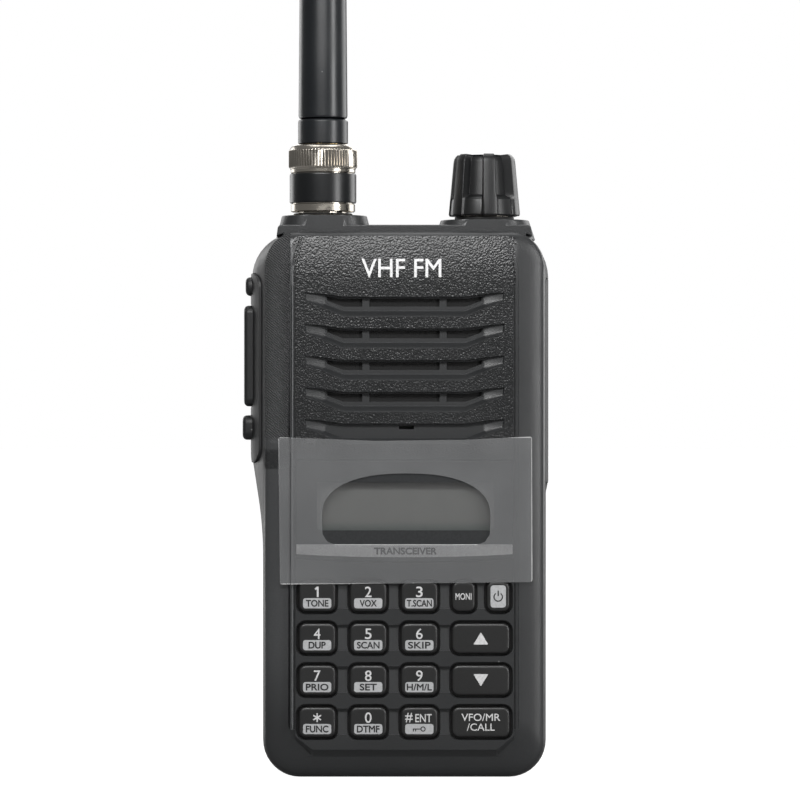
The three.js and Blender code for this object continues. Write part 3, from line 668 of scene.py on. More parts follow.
GOLD = plated("gold plate", (0.85, 0.62, 0.28, 1.0), 0.2)
STEEL = plated("tinned steel", (0.55, 0.55, 0.55, 1.0), 0.3)
FOIL = plated("cell foil", (0.6, 0.62, 0.66, 1.0), 0.35)
FILM_SHEET = sheer("transit film", grey(128, -1), 0.34, 0.3, 90.0)
# Painted highlight: a paler, more opaque sheet for the film's edge, where its cut edge catches light.
FILM_EDGE_HIGHLIGHT = sheer("film edge", grey(190), 0.6, 0.35)
CLEAR_SHEET = sheer("clear window", grey(110), 0.1, 0.06)
CRYSTAL = crystal()
CLOTH = woven("dust cloth", grey(26))
BOARD = board()


# ---- Keypad layout, from the frame ----
KEY_NAMES = [name for name in frame["nodes"] if name.startswith("key_")]
KEY_LIP = 0.5  # the hidden flange that keeps a key in, each way
WELL_GAP = 0.48


def key_outline(name, grow=0.0, steps=5):
    low, high = span(name)
    inset = KEY_LIP - grow
    return box_outline(low.x + inset, high.x - inset, low.z + inset, high.z - inset, 1.45 + grow, steps)


def key_gaps():
    """The stretches between neighbouring keys, as (row height, left, right)."""
    rows = {}
    for name in KEY_NAMES:
        low, high = span(name)
        rows.setdefault(round((low.z + high.z) / 2, 1), []).append((low.x + KEY_LIP, high.x - KEY_LIP))
    gaps = []
    for row, edges in rows.items():
        edges.sort()
        gaps += [(row, first[1], second[0]) for first, second in zip(edges, edges[1:])]
    return gaps


def web_cutter(row, left, right):
    """The scooped web between two keys: deep under its top edge, running out towards the bottom."""
    edge = [(-0.5, -2.5), (0.35, -2.45), (0.95, 2.35), (0.75, 2.75), (-0.5, 2.85)]
    outline = [Vector((FRONT + depth, row + rise)) for depth, rise in edge]
    return lofted([(left + 0.1, outline), (right - 0.1, outline)], "x")


def well_cutter(name):
    return lofted([
        (FRONT - 0.3, key_outline(name, WELL_GAP + 0.36)),
        (FRONT + 0.15, key_outline(name, WELL_GAP)),
        (FRONT + 3, key_outline(name, WELL_GAP)),
    ])


# ---- Front case ----
# Between its corners the case stops behind and above this, for the chassis head.
SHELF = Vector((24.8, -14.6, 103.8))
SCREWS = [(side * 24.3, height) for side in (-1, 1) for height in (10, 68)]  # the chassis screws, as (x, z)
JACKS = [(-10.1, height) for height in (92, 81)]  # the two jacks on the right side, as (y, z)
PTT_OPENING = (74.85, 96.05)  # the foot and the top of the transmit key's opening
VIEW = (-17.7, 18.1, 50.2, 59.9)  # the see-through part of the window: left, right, low, high
PAD_BASE = -28.1  # how deep the side pad is let into the case
FLAP_PLATE = FLAP_HIGH.x - 1.3  # the jack cover's inner face, without its stubs


def span_outline(low, high, grow, radius, steps=5):
    """The side view, as (y, z), of the space between two corners."""
    return box_outline(low.y - grow, high.y + grow, low.z - grow, high.z + grow, radius, steps)


def lens_outline(grow=0.0):
    """The display window: square above, with a bottom edge that bows down in the middle."""
    half = LENS_HIGH.x + grow
    low = LENS_LOW.z - grow
    bow = [(half * t, low + 0.75 * abs(t) ** 2.2 - 0.35) for t in (-0.75, -0.5, -0.25, 0, 0.25, 0.5, 0.75)]
    return rounded([(-half, low + 0.5, 0.5)] + [(u, v, 0) for u, v in bow] + [(half, low + 0.5, 0.5),
                   (half, LENS_HIGH.z + grow, 0.7), (-half, LENS_HIGH.z + grow, 0.7)], 4)


PANEL = {"half": 22.1, "foot": 5.9, "slant": 3.4, "top": 109.7, "lean": 1.9, "lean_from": 103.0}


def body_ring(inset, foot, top, corner, bulge=0.0):
    """The case's outline, inset from its lower width. Bulge is 1 where the sides reach full width."""
    half = HALF - inset
    left = half + (-LEFT - HALF) * bulge
    right = half + (RIGHT - HALF) * bulge
    return rounded([
        (-half, foot, corner),
        (half, foot, corner),
        (half, 57.8, 1.5),
        (right, 60, 1.5),
        (right, top, corner + 1.8 * bulge),
        (-left, top, corner + 1.8 * bulge),
        (-left, 65, 12),
        (-half, 50.5, 80),
    ], steps=10)


def panel_outline(grow=0.0, drop=0.0):
    """The raised panel's edge. Drop lowers its foot, where the panel slopes down to the chin."""
    half = PANEL["half"] + grow
    foot = PANEL["foot"] - drop
    lean = half - PANEL["lean"]
    slant = PANEL["slant"]
    return rounded([
        (-half + slant, foot, 0.8),
        (half - slant, foot, 0.8),
        (half, foot + slant * 0.8, 0.8),
        (half, PANEL["lean_from"], 6),
        (lean, PANEL["top"] + grow * 0.5, 0.5),
        (-lean, PANEL["top"] + grow * 0.5, 0.5),
        (-half, PANEL["lean_from"], 6),
        (-half, foot + slant * 0.8, 0.8),
    ], steps=5)


def groove_cutter(side, near, far, deep):
    """A groove that follows one side of the panel, between two distances out from it."""
    half = PANEL["half"]
    edge = [(half, 10.0), (half, 102.2), (half - 0.25, 104.2), (half - 0.8, 106.6), (half - 1.75, 109.4)]
    outline = [Vector((u + near, v)) for u, v in edge] + [Vector((u + far, v)) for u, v in reversed(edge)]
    return plate([Vector((side * p.x, p.y)) for p in outline], FRONT - 0.5, FRONT + deep)


SLOT = {"count": 5, "top": 97.3, "pitch": 6.4, "high": 3.95, "flat": 12.35, "half": 20.1, "deep": 1.1,
        "lip": 0.95, "ramp": 0.65, "ramp_from": 15.8, "ramp_run": 4.2}


def slot_outline(top, raise_low=0.0, shrink=0.0):
    low = top - SLOT["high"] + raise_low
    return grown(mirrored([
        (SLOT["flat"], low),
        (SLOT["flat"] + 4.1, low + 1.9 - raise_low * 0.35),
        (SLOT["half"] - 0.25, low + 3.0 - raise_low * 0.5),
        (SLOT["half"], top + 0.85),
        (SLOT["flat"] + 5.2, top + 0.7),
        (SLOT["flat"], top),
    ]), -shrink)


def slot_cutter(top):
    """A slot: a crisp eased rim, upright walls above, a sloping lip below, a floor that rises at its ends."""
    made = sliced(lofted([
        (FRONT - 0.3, slot_outline(top, shrink=-0.35)),
        (FRONT + 0.12, slot_outline(top, shrink=0.02)),
        (FRONT + SLOT["deep"], slot_outline(top, SLOT["lip"], 0.1)),
    ]), "x", [-SLOT["ramp_from"], SLOT["ramp_from"]])
    skin = bmesh.new()
    skin.from_mesh(made.data)
    bmesh.ops.triangulate(skin, faces=skin.faces)
    for vertex in skin.verts:
        if vertex.co.y > FRONT + 0.5:
            rise = min(1.0, max(0.0, (abs(vertex.co.x) - SLOT["ramp_from"]) / SLOT["ramp_run"]))
            vertex.co.y -= SLOT["ramp"] * rise
    skin.to_mesh(made.data)
    skin.free()
    return made


def slot_hole_cutters(top, closed):
    """The through holes in a slot's floor, split by two upright ribs; the ends run up at a slant."""
    high = top - 0.35
    low = top - 1.95
    near = FRONT + 0.3
    far = FRONT + 4
    if closed:
        return [box(-1.1, 1.9, near, far, top - 1.1, high)]
    rib_in, rib_out = 7.1, 8.5
    end = [Vector(p) for p in ((rib_out, low), (12.4, low), (15.6, top - 0.75), (15.6, top + 0.05),
                               (12.9, high), (rib_out, high))]
    other = [Vector((-p.x, p.y)) for p in reversed(end)]
    middle = box_outline(-rib_in, rib_in, low, high)
    return [plate(outline, near, far) for outline in (end, other, middle)]


def slot_channel(top):
    """The deeper middle of a slot's floor, which the holes open from; its ends stop short of the slot's."""
    low = top - 2.85
    outline = mirrored([(12.2, low), (16.0, top - 0.95), (16.0, top + 0.2), (12.6, top - 0.12)])
    return lofted([(FRONT + 0.75, outline), (FRONT + SLOT["deep"] + 0.3, grown(outline, -0.12))])


SKIN = [
    # depth behind the panel, inset, foot, drop of the top, corner, bulge
    (0.35, 5.9, 9.2, 1.0, 2.6, 0.0),
    (0.5, 5.1, 8.5, 0.75, 3.2, 0.0),
    (0.85, 3.5, 6.4, 0.45, 4.8, 0.0),
    (1.15, 2.5, 4.3, 0.3, 5.6, 0.0),
    (1.45, 1.7, 2.5, 0.2, 6.2, 0.0),
    (1.8, 0.95, 1.4, 0.1, 6.7, 0.0),
    (2.3, 0.6, 0.75, 0.0, 7.0, 0.0),
    (3.2, 0.4, 0.35, 0.0, 7.2, 0.15),
    (4.2, 0.3, 0.2, 0.0, 7.3, 0.36),
    (5.2, 0.2, 0.12, 0.0, 7.4, 0.57),
    (6.3, 0.1, 0.06, 0.0, 7.45, 0.77),
    (7.5, 0.05, 0.03, 0.0, 7.5, 0.92),
    (9.5, 0.0, 0.0, 0.0, 7.5, 1.0),
]


def case_skin(grow=0.0, back=RIM):
    """The case's outer shape, filled, and grown where asked."""
    sections = [(FRONT + depth - grow,
                 body_ring(inset - grow, foot - grow, TOP - drop + grow, corner + grow, bulge))
                for depth, inset, foot, drop, corner, bulge in SKIN]
    sections.append((back - 0.25, body_ring(-grow, -grow, TOP + grow, 7.5 + grow, 1.0)))
    sections.append((back, body_ring(0.25 - grow, 0.25 - grow, TOP - 0.25 + grow, 7.3 + grow, 1.0)))
    return lofted(sections)


BOW = {"from": 99.5, "reach": 11.0, "drop": 1.0}  # the panel's top curves back


def bowed(made):
    """Curves the front back towards its top, less and less towards the shelf behind it."""
    levels = [BOW["from"] + BOW["reach"] * k / 8 for k in range(8)]
    sliced(made, "z", levels)
    for vertex in made.data.vertices:
        rise = max(0.0, (vertex.co.z - BOW["from"]) / BOW["reach"])
        share = min(1.0, max(0.0, (SHELF.y - vertex.co.y) / (SHELF.y - FRONT)))
        vertex.co.y += BOW["drop"] * rise ** 2 * share
    return made


def flush(outline, base, outer, grow):
    """A cover that follows the case's own side, down to a base level."""
    return shared(case_skin(grow), plate(outline, base, outer, "x"))


def front_case():
    outside = case_skin()
    inside = lofted([
        (FRONT + 1.6, body_ring(6.2, 6.0, 107.4, 3)),
        (FRONT + 3.8, body_ring(3.2, 2.4, 107.9, 5)),
        (FRONT + 6, body_ring(1.9, 1.9, 108.2, 5.6)),
        (RIM + 1, body_ring(1.9, 1.9, 108.2, 5.6)),
    ])
    plateau = lofted([
        (FRONT, panel_outline(-0.1, -0.1)),
        (FRONT + 0.1, panel_outline()),
        (FRONT + 1.2, panel_outline(0.08, 1.3)),
        (FRONT + 1.5, panel_outline(0.08, 1.3)),
    ])
    case = joined(cut(outside, inside), plateau)
    posts = [rod("y", 2.5, -10.5, RIM, site) for site in SCREWS]
    webs = [box(*sorted((x, math.copysign(28, x))), -10.4, RIM + 0.05, z - 1.2, z + 1.2) for x, z in SCREWS]
    case = joined(joined(case, *posts), *webs)
    case = cut(case, *[groove_cutter(side, near, far, deep) for side in (-1, 1)
                       for near, far, deep in ((0.02, 0.34, 0.72), (0.8, 0.98, 0.55))])
    tops = [SLOT["top"] - SLOT["pitch"] * i for i in range(SLOT["count"])]
    lens_edge = lens_outline(0.18)
    lens_pocket = lofted([(FRONT - 0.3, grown(lens_edge, 0.4)), (FRONT + 0.12, lens_edge),
                          (LENS_HIGH.y + 0.1, lens_edge)])
    flap = span_outline(FLAP_LOW, FLAP_HIGH, 0.25, 1.2)
    pad = span_outline(PAD_LOW, PAD_HIGH, 0.12, 3.0)
    case = cut(
        case,
        *[slot_cutter(top) for top in tops],
        lens_pocket,
        lofted([(40, flap), (FLAP_PLATE - 0.1, flap)], "x"),
        lofted([(-40, pad), (PAD_BASE + 0.05, pad)], "x"),
        box(-SHELF.x, SHELF.x, SHELF.y, 10, SHELF.z, 130),
        box(-20.15, -17.95, FRONT - 1, FRONT + 3, 67.85, 68.85),
        *[web_cutter(row, left, right) for row, left, right in key_gaps()],
    )
    case = cut(case, *[slot_channel(top) for top in tops[:-1]])
    ptt_hole = box_outline(PTT_LOW.y - 0.35, PTT_HIGH.y + 0.35, *PTT_OPENING)
    return tidied(cut(
        case,
        *[cutter for i, top in enumerate(tops) for cutter in slot_hole_cutters(top, i == SLOT["count"] - 1)],
        plate(box_outline(-18.6, 18.6, 49.2, 61.2, 0.8), FRONT + 0.5, FRONT + 3),
        *[well_cutter(name) for name in KEY_NAMES],
        plate(ptt_hole, -35, -20, "x"),
        *[rod("x", 2.2, 20, 40, site, 24) for site in JACKS],
        *[rod("y", 1.25, -9.5, 0, site, 16) for site in SCREWS],
    ))


def is_front(centre, normal):
    sunk = 1.2 if centre.z > BOW["from"] else 0.05
    return normal.y < -0.9 and centre.y < FRONT + sunk and abs(centre.x) < 22.3 and centre.z > 40


def is_left_shoulder(centre, normal):
    return normal.y < -0.35 and centre.y < FRONT + 2.2 and centre.x < -23


# Where the painted highlight goes: the ridge along the panel's left edge.
def is_highlit_ridge(centre, normal):
    low = centre.z > 10 and centre.y < FRONT + 1.2
    return normal.y < -0.5 and low and -22.93 < centre.x < -22.42


def is_side(centre, normal):
    return abs(normal.x) > 0.6 and centre.y > FRONT + 1.9 and abs(centre.x) > 26


# Where the painted shade goes: the case's left side.
def is_shaded_left_side(centre, normal):
    return is_side(centre, normal) and centre.x < 0


case_front = painted(
    bowed(sliced(sliced(front_case(), "x", [-23.0, -22.6, 22.6]), "z", [10.0])),
    (CASE_RIDGE_HIGHLIGHT, is_highlit_ridge),
    (CASE_PEBBLE, is_front),
    (CASE_HATCH, is_left_shoulder),
    (CASE_SIDE_SHADE, is_shaded_left_side),
    (CASE_SMOOTH, None),
)
piece("case_front", case_front, "body", stands_for=["front_case"])


# ---- Keys ----
LEGENDS = {
    "key_1": ("1", "TONE"), "key_2": ("2", "VOX"), "key_3": ("3", "T.SCAN"),
    "key_4": ("4", "DUP"), "key_5": ("5", "SCAN"), "key_6": ("6", "SKIP"),
    "key_7": ("7", "PRIO"), "key_8": ("8", "SET"), "key_9": ("9", "H/M/L"),
    "key_star": ("*", "FUNC"), "key_0": ("0", "DTMF"), "key_hash": ("#ENT", None),
}
PILL = {"width": 5.7, "high": 2.05, "rise": 0.95, "radius": 0.5}
PRINT = 0.03  # how far printing stands off its surface


def key_cap(name):
    """A key: a flange, upright sides, an eased edge and a slightly crowned top."""
    low, high = span(name)
    top = low.y
    return lofted([
        (high.y, key_outline(name, KEY_LIP)),
        (high.y - 0.3, key_outline(name, KEY_LIP)),
        (high.y - 0.3, key_outline(name)),
        (top + 0.75, key_outline(name)),
        (top + 0.42, key_outline(name, -0.05)),
        (top + 0.18, key_outline(name, -0.17)),
        (top + 0.06, key_outline(name, -0.34)),
        (top + 0.01, key_outline(name, -0.6)),
        (top, key_outline(name, -0.95)),
    ])


def lettering(text, high, centre, surface, weight=0.0, width=None, thick=0.12):
    """Closed raised letters facing the front, centred at (x, z). Weight thickens their strokes."""
    curve = bpy.data.curves.new(text, "FONT")
    curve.body = text
    curve.size = 1.0
    curve.extrude = 0.5
    curve.resolution_u = 4
    holder = linked(text, curve)
    mesh = bpy.data.meshes.new_from_object(holder.evaluated_get(bpy.context.evaluated_depsgraph_get()))
    made = linked(text, mesh)
    bpy.data.objects.remove(holder)
    xs = [v.co.x for v in mesh.vertices]
    ys = [v.co.y for v in mesh.vertices]
    scale = high / (max(ys) - min(ys))
    across = width / (max(xs) - min(xs)) if width else scale
    middle = Matrix.Translation((-(max(xs) + min(xs)) / 2, -(max(ys) + min(ys)) / 2, 0))
    mesh.transform(Matrix.Diagonal((across, scale, thick, 1)) @ middle)
    thickened(mesh, weight)
    stand = Matrix.Rotation(math.radians(90), 4, "X")
    mesh.transform(Matrix.Translation((centre[0], surface + thick / 2 - PRINT, centre[1])) @ stand)
    mesh.materials.clear()
    return made


def thickened(mesh, weight):
    """Moves the sides of flat letters outwards, with the sharpest corners held back."""
    skin = bmesh.new()
    skin.from_mesh(mesh)
    bmesh.ops.remove_doubles(skin, verts=skin.verts, dist=1e-4)
    skin.normal_update()
    moves = {}
    for vertex in skin.verts:
        sides = [face.normal for face in vertex.link_faces if abs(face.normal.z) < 0.5]
        if sides:
            mean = sum(sides, Vector()).normalized()
            moves[vertex] = mean * (weight / max(0.75, min(mean.dot(side) for side in sides)))
    for vertex, move in moves.items():
        vertex.co += move
    skin.to_mesh(mesh)
    skin.free()


def inked(made, material):
    made.data.materials.clear()
    made.data.materials.append(material)
    return made


def assembled(parts):
    """One object from parts that keep their own materials."""
    materials = []
    whole = bmesh.new()
    for part in parts:
        material = part.data.materials[0]
        if material not in materials:
            materials.append(material)
        for face in part.data.polygons:
            face.material_index = materials.index(material)
        whole.from_mesh(part.data)
        bpy.data.objects.remove(part)
    made = shaped(whole, "assembled")
    for material in materials:
        made.data.materials.append(material)
    return made


def decal(outline, surface, material, lift=PRINT, thick=0.12):
    return inked(plate(outline, surface - lift, surface - lift + thick), material)


def ring_arc(centre, radius, width, start_angle, end_angle, steps=20):
    """A closed arc-shaped outline, for a symbol."""
    turns = [start_angle + (end_angle - start_angle) * k / steps for k in range(steps + 1)]
    outer = [Vector(centre) + ray(t) * (radius + width / 2) for t in turns]
    inner = [Vector(centre) + ray(t) * (radius - width / 2) for t in reversed(turns)]
    return outer + inner


def pill(name, surface):
    low, high = span(name)
    x = (low.x + high.x) / 2
    z = low.z + KEY_LIP + PILL["rise"] + PILL["high"] / 2 - 0.25
    half = PILL["width"] / 2
    outline = box_outline(x - half, x + half, z - PILL["high"] / 2, z + PILL["high"] / 2, PILL["radius"])
    return (x, z), decal(outline, surface, PILL_INK)


def lock_symbol(centre, surface):
    """A small key lying on its side, for the lock."""
    x, z = centre
    bow = decal(ring_arc((x + 0.75, z), 0.42, 0.2, 0.0, 2 * math.pi * 0.999, 24), surface, DARK_INK,
                2 * PRINT)
    bar = decal(box_outline(x - 1.3, x + 0.3, z - 0.1, z + 0.1), surface, DARK_INK, 2 * PRINT)
    teeth = [decal(box_outline(x - 1.3 + k, x - 1.1 + k, z - 0.5, z - 0.05), surface, DARK_INK, 2 * PRINT)
             for k in (0.0, 0.45)]
    return [bow, bar, *teeth]


def star_outline(centre, reach, half_width, spokes=6):
    """An asterisk's outline: a square-ended bar for each spoke."""
    outline = []
    for k in range(spokes):
        angle = math.pi / 2 + 2 * math.pi * k / spokes
        along = ray(angle)
        aside = Vector((-along.y, along.x)) * half_width
        notch = angle + math.pi / spokes
        outline += [along * reach - aside, along * reach + aside,
                    ray(notch) * half_width / math.sin(math.pi / spokes)]
    return [Vector(centre) + p for p in outline]


def one_outline(centre, high=2.1, stroke=0.38):
    """The digit 1: an upright stroke with a flag at its top left."""
    x, z = centre
    right = x + 0.3
    left = right - stroke
    top = z + high / 2
    return [Vector(p) for p in ((left, z - high / 2), (right, z - high / 2), (right, top), (left + 0.05, top),
                                (left - 0.42, top - 0.42), (left - 0.22, top - 0.68), (left, top - 0.5))]


def digit_legend(name, surface):
    digit, word = LEGENDS[name]
    centre, base = pill(name, surface)
    high_row = centre[1] + 2.3
    parts = [base]
    if word:
        width = min(5.0, 1.12 * len(word))
        parts.append(inked(lettering(word, 1.3, centre, surface - PRINT, 0.05, width), DARK_INK))
    else:
        parts += lock_symbol(centre, surface)
    if digit == "#ENT":
        parts.append(inked(lettering("#", 1.9, (centre[0] - 2.1, high_row), surface, 0.02, 1.5), LEGEND_INK))
        parts.append(inked(lettering("ENT", 1.6, (centre[0] + 0.85, high_row - 0.1), surface, 0.02, 3.3),
                           LEGEND_INK))
    elif digit == "1":
        parts.append(decal(one_outline((centre[0], high_row)), surface, LEGEND_INK))
    elif digit == "*":
        parts.append(decal(star_outline((centre[0], high_row), 0.9, 0.14), surface, LEGEND_INK))
    else:
        parts.append(inked(lettering(digit, 2.1, (centre[0], high_row), surface, 0.02, 1.3), LEGEND_INK))
    return parts


def face_centre(name):
    """The middle of a key's face, as (x, z)."""
    low, high = span(name)
    return (low.x + high.x) / 2, (low.z + high.z) / 2


def arrow_legend(name, surface, way):
    x, z = face_centre(name)
    half, tall = 1.5, 1.25
    corners = [(x - half, z - way * tall), (x + half, z - way * tall), (x, z + way * tall)]
    if way < 0:
        corners.reverse()
    return [decal(rounded([(u, v, 0.12) for u, v in corners], 3), surface, LEGEND_INK)]


def power_legend(surface):
    x, z = face_centre("key_power")
    base = decal(box_outline(x - 1.55, x + 1.55, z - 2.25, z + 2.25, 0.6), surface, PILL_INK)
    arc = decal(ring_arc((x, z - 0.1), 0.85, 0.24, math.radians(125), math.radians(415)), surface, DARK_INK,
                2 * PRINT)
    bar = decal(box_outline(x - 0.13, x + 0.13, z + 0.05, z + 1.2, 0.1), surface, DARK_INK, 2 * PRINT)
    return [base, arc, bar]


def word_legend(name, lines, high, width, surface):
    x, z = face_centre(name)
    first = z + (len(lines) - 1) * high * 0.68
    return [inked(lettering(line, high, (x, first - i * high * 1.36), surface, 0.015, width * share),
                  LEGEND_INK)
            for i, (line, share) in enumerate(lines)]


def legend_parts(name, surface):
    if name in LEGENDS:
        return digit_legend(name, surface)
    if name == "key_up":
        return arrow_legend(name, surface, 1)
    if name == "key_down":
        return arrow_legend(name, surface, -1)
    if name == "key_power":
        return power_legend(surface)
    if name == "key_monitor":
        return word_legend(name, [("MONI", 1.0)], 1.3, 3.2, surface)
    return word_legend(name, [("VFO/MR", 1.0), ("/CALL", 0.72)], 1.45, 7.8, surface)


for key_name in KEY_NAMES:
    button = key_name.replace("key_", "button_")
    key_top = span(key_name)[0].y
    piece(key_name.replace("key_", "cap_"), key_cap(key_name), button, KEY_CAP,
          stands_for=[key_name])
    piece(key_name.replace("key_", "print_"), assembled(legend_parts(key_name, key_top)), button)


# ---- Display ----
def window():
    """The clear window with its printed mask: a frame of ink round the see-through part."""
    outer = lens_outline()
    view = box_outline(*VIEW, 0.4)
    mask = cut(eased_plate(outer, LENS_LOW.y, LENS_HIGH.y, 0.12),
               plate(view, LENS_LOW.y - 1, LENS_HIGH.y + 1))
    return piece("window_mask", mask, "body", MASK_INK, stands_for=["display_lens"])


window()
pane_outline = box_outline(-17.68, 18.08, 50.22, 59.88, 0.4)  # the view, less a hair's gap
piece("window_pane", plate(pane_outline, LENS_LOW.y + 0.03, LENS_HIGH.y - 0.1), "body",
      CLEAR_SHEET)


def silver_bar():
    """The silver strip along the window's foot; its lower edge bows down with the window's."""
    half = LENS_HIGH.x - 0.1
    low = LENS_LOW.z + 0.95
    bow = [Vector((half * t, low + 0.6 * abs(t) ** 2.2 - 0.45))
           for t in (-1, -0.75, -0.5, -0.25, 0, 0.25, 0.5, 0.75, 1)]
    outline = bow + [Vector((half, low + 2.15)), Vector((-half, low + 2.15))]
    return decal(outline, LENS_LOW.y, SILVER_INK, 0.05)


bar_words = inked(lettering("TRANSCEIVER", 1.3, (0.2, LENS_LOW.z + 1.75), LENS_LOW.y - 0.05, 0.08, 12.5),
                  DARK_INK)
piece("silver_bar", assembled([silver_bar(), bar_words]), "body")
band_words = bowed(lettering("VHF FM", 3.7, (-0.6, 103.1), FRONT, 0.03, 16.0, 0.4))
piece("band_mark", inked(band_words, WHITE_INK), "body")


def film():
    """The transit film: not quite square, its top edge sagging, with an arch cut out over the display."""
    left, right = FILM_LOW.x, FILM_HIGH.x
    low, high = FILM_LOW.z, FILM_HIGH.z
    outer = rounded([
        (left + 0.4, low, 0.5), (right, low + 0.5, 0.5), (right - 0.1, high + 0.05, 0.4),
        (12, high - 0.65, 6), (-6, high - 0.85, 6), (left + 0.1, high - 0.1, 0.4),
    ], 4)
    arch = [Vector(p) for p in ((-13.9, 47.3), (14.6, 47.3), (16.2, 47.9), (17.2, 49.4))]
    crown = Vector((0.35, 53.0))
    for k in range(29):
        angle = math.pi * k / 28
        across, up = math.cos(angle), math.sin(angle)
        swell = (abs(across) ** 2.4 + up ** 2.4) ** (-1 / 2.4)
        arch.append(crown + Vector((17.0 * across, 8.7 * up)) * swell)
    arch += [Vector((-16.5, 49.4)), Vector((-15.5, 47.9))]
    sheet = eased_plate(outer, FILM_LOW.y, FILM_HIGH.y, 0.05, rows=2)
    return cut(sheet, plate(arch, FILM_LOW.y - 1, FILM_HIGH.y + 1))


# Width of the strip painted pale along the film's edge as its highlight.
FILM_HIGHLIGHT_RIM = 0.22  # the pale strip along the film's edge


def is_film_edge_highlight(centre, normal):
    margin = min(centre.x - FILM_LOW.x, FILM_HIGH.x - centre.x, centre.z - FILM_LOW.z, FILM_HIGH.z - centre.z)
    return margin < FILM_HIGHLIGHT_RIM or abs(normal.y) < 0.9


film_sheet = sliced(film(), "x", [FILM_LOW.x + FILM_HIGHLIGHT_RIM, FILM_HIGH.x - FILM_HIGHLIGHT_RIM])
film_sheet = sliced(film_sheet, "z", [FILM_LOW.z + FILM_HIGHLIGHT_RIM, FILM_HIGH.z - FILM_HIGHLIGHT_RIM])
piece("film", painted(film_sheet, (FILM_EDGE_HIGHLIGHT, is_film_edge_highlight), (FILM_SHEET, None)), "body",
      stands_for=["protective_film"])


# ---- Chassis ----
HEAD_BACK = CHASSIS_HIGH.y
HEAD_TOP = 112.0
LUGS = [(x, z) for x in (-20, 20) for z in (16, 80)]  # the lugs that hold the battery


def boss(x0, x1, top):
    """A raised seat on the chassis head, with sloping sides and a crisp top edge."""
    front, back = CHASSIS_LOW.y, 0.5

    def level(height, spread):
        return height, box_outline(x0 - spread, x1 + spread, front, back + spread, 5.5, 8)

    return lofted([level(HEAD_TOP - 2.9, 1.3), level(top - 0.3, 0.1), level(top - 0.1, 0.0),
                   level(top, -0.2)], "z")


def chassis():
    front, back = -3.5, 2.0
    tray = lofted([
        (front, body_ring(0.25, 0.25, TOP - 0.25, 7.3, 1.0)),
        (front + 0.25, body_ring(0.0, 0.0, TOP, 7.5, 1.0)),
        (back - 0.25, body_ring(0.0, 0.0, TOP, 7.5, 1.0)),
        (back, body_ring(0.25, 0.25, TOP - 0.25, 7.3, 1.0)),
    ])
    hollow = lofted([(front - 1, body_ring(1.9, 1.9, SHELF.z, 5.6)),
                     (0.2, body_ring(1.9, 1.9, SHELF.z, 5.6))])
    neck_outline = rounded([
        (-24.65, SHELF.z + 0.15, 0), (24.65, SHELF.z + 0.15, 0), (24.65, 110.2, 0), (25.9, 109.7, 0),
        (25.6, HEAD_TOP, 0.8), (-25.6, HEAD_TOP, 0.8), (-25.9, 109.7, 0), (-24.65, 110.2, 0),
    ], 5)
    head_outline = rounded([
        (-27.2, SHELF.z - 4.4, 0.4), (27.2, SHELF.z - 4.4, 0.4), (26.35, 108.3, 3), (25.6, HEAD_TOP, 1.2),
        (-25.6, HEAD_TOP, 1.2), (-26.35, 108.3, 3),
    ], 5)
    neck = eased_plate(neck_outline, CHASSIS_LOW.y, -2.5, 0.25)
    head = eased_plate(head_outline, HEAD_BACK, -3.4, 0.9, rows=5)
    whole = joined(joined(cut(tray, hollow), head), neck)
    whole = joined(whole, boss(-24.9, -7.7, CHASSIS_HIGH.z), boss(7.4, 25.3, 113.1))
    lugs = [box(x - 1.5, x + 1.5, 1.5, 3.5, z - 3, z + 3) for x, z in LUGS]
    caps = [eased_plate(box_outline(x - 3, x + 3, z - 3, z + 3, 0.4), 4.6, 3.4, 0.25) for x, z in LUGS]
    whole = joined(joined(whole, *lugs), *caps)
    whole = cut(whole, box(-22.5, 22.5, CHASSIS_LOW.y + 1.2, 7.2, 101.1, 110.2))
    whole = cut(whole, box(-22.5, 22.5, CHASSIS_LOW.y + 1.3, 0.21, 90, 101.5))
    whole = cut(
        whole,
        rod("z", 5.0, 109, 130, ANTENNA_AXIS, 48),
        rod("z", 4.3, 109, 130, KNOB_AXIS, 48),
        box(-LATCH_HIGH.x - 0.5, LATCH_HIGH.x + 0.5, 0.5, 2.6, -1, 3.8),
        box(-6.8, 6.8, 0.0, 2.6, 26.7, 34.3),
        *[rod("y", 2.5, 1.0, 2.6, site, 24) for site in SCREWS],
    )
    return cut(whole, *[rod("y", 1.25, -5.0, 1.3, site, 16) for site in SCREWS])


piece("chassis", chassis(), "body", CHASSIS_PAINT, stands_for=["rear_chassis"])


# ---- Volume knob ----
KNOB = {"ridges": 6, "ridge_angle": 8.6, "ridge_width": 25.0, "step": 117.5, "flute": 1.9, "skirt": 0.5}


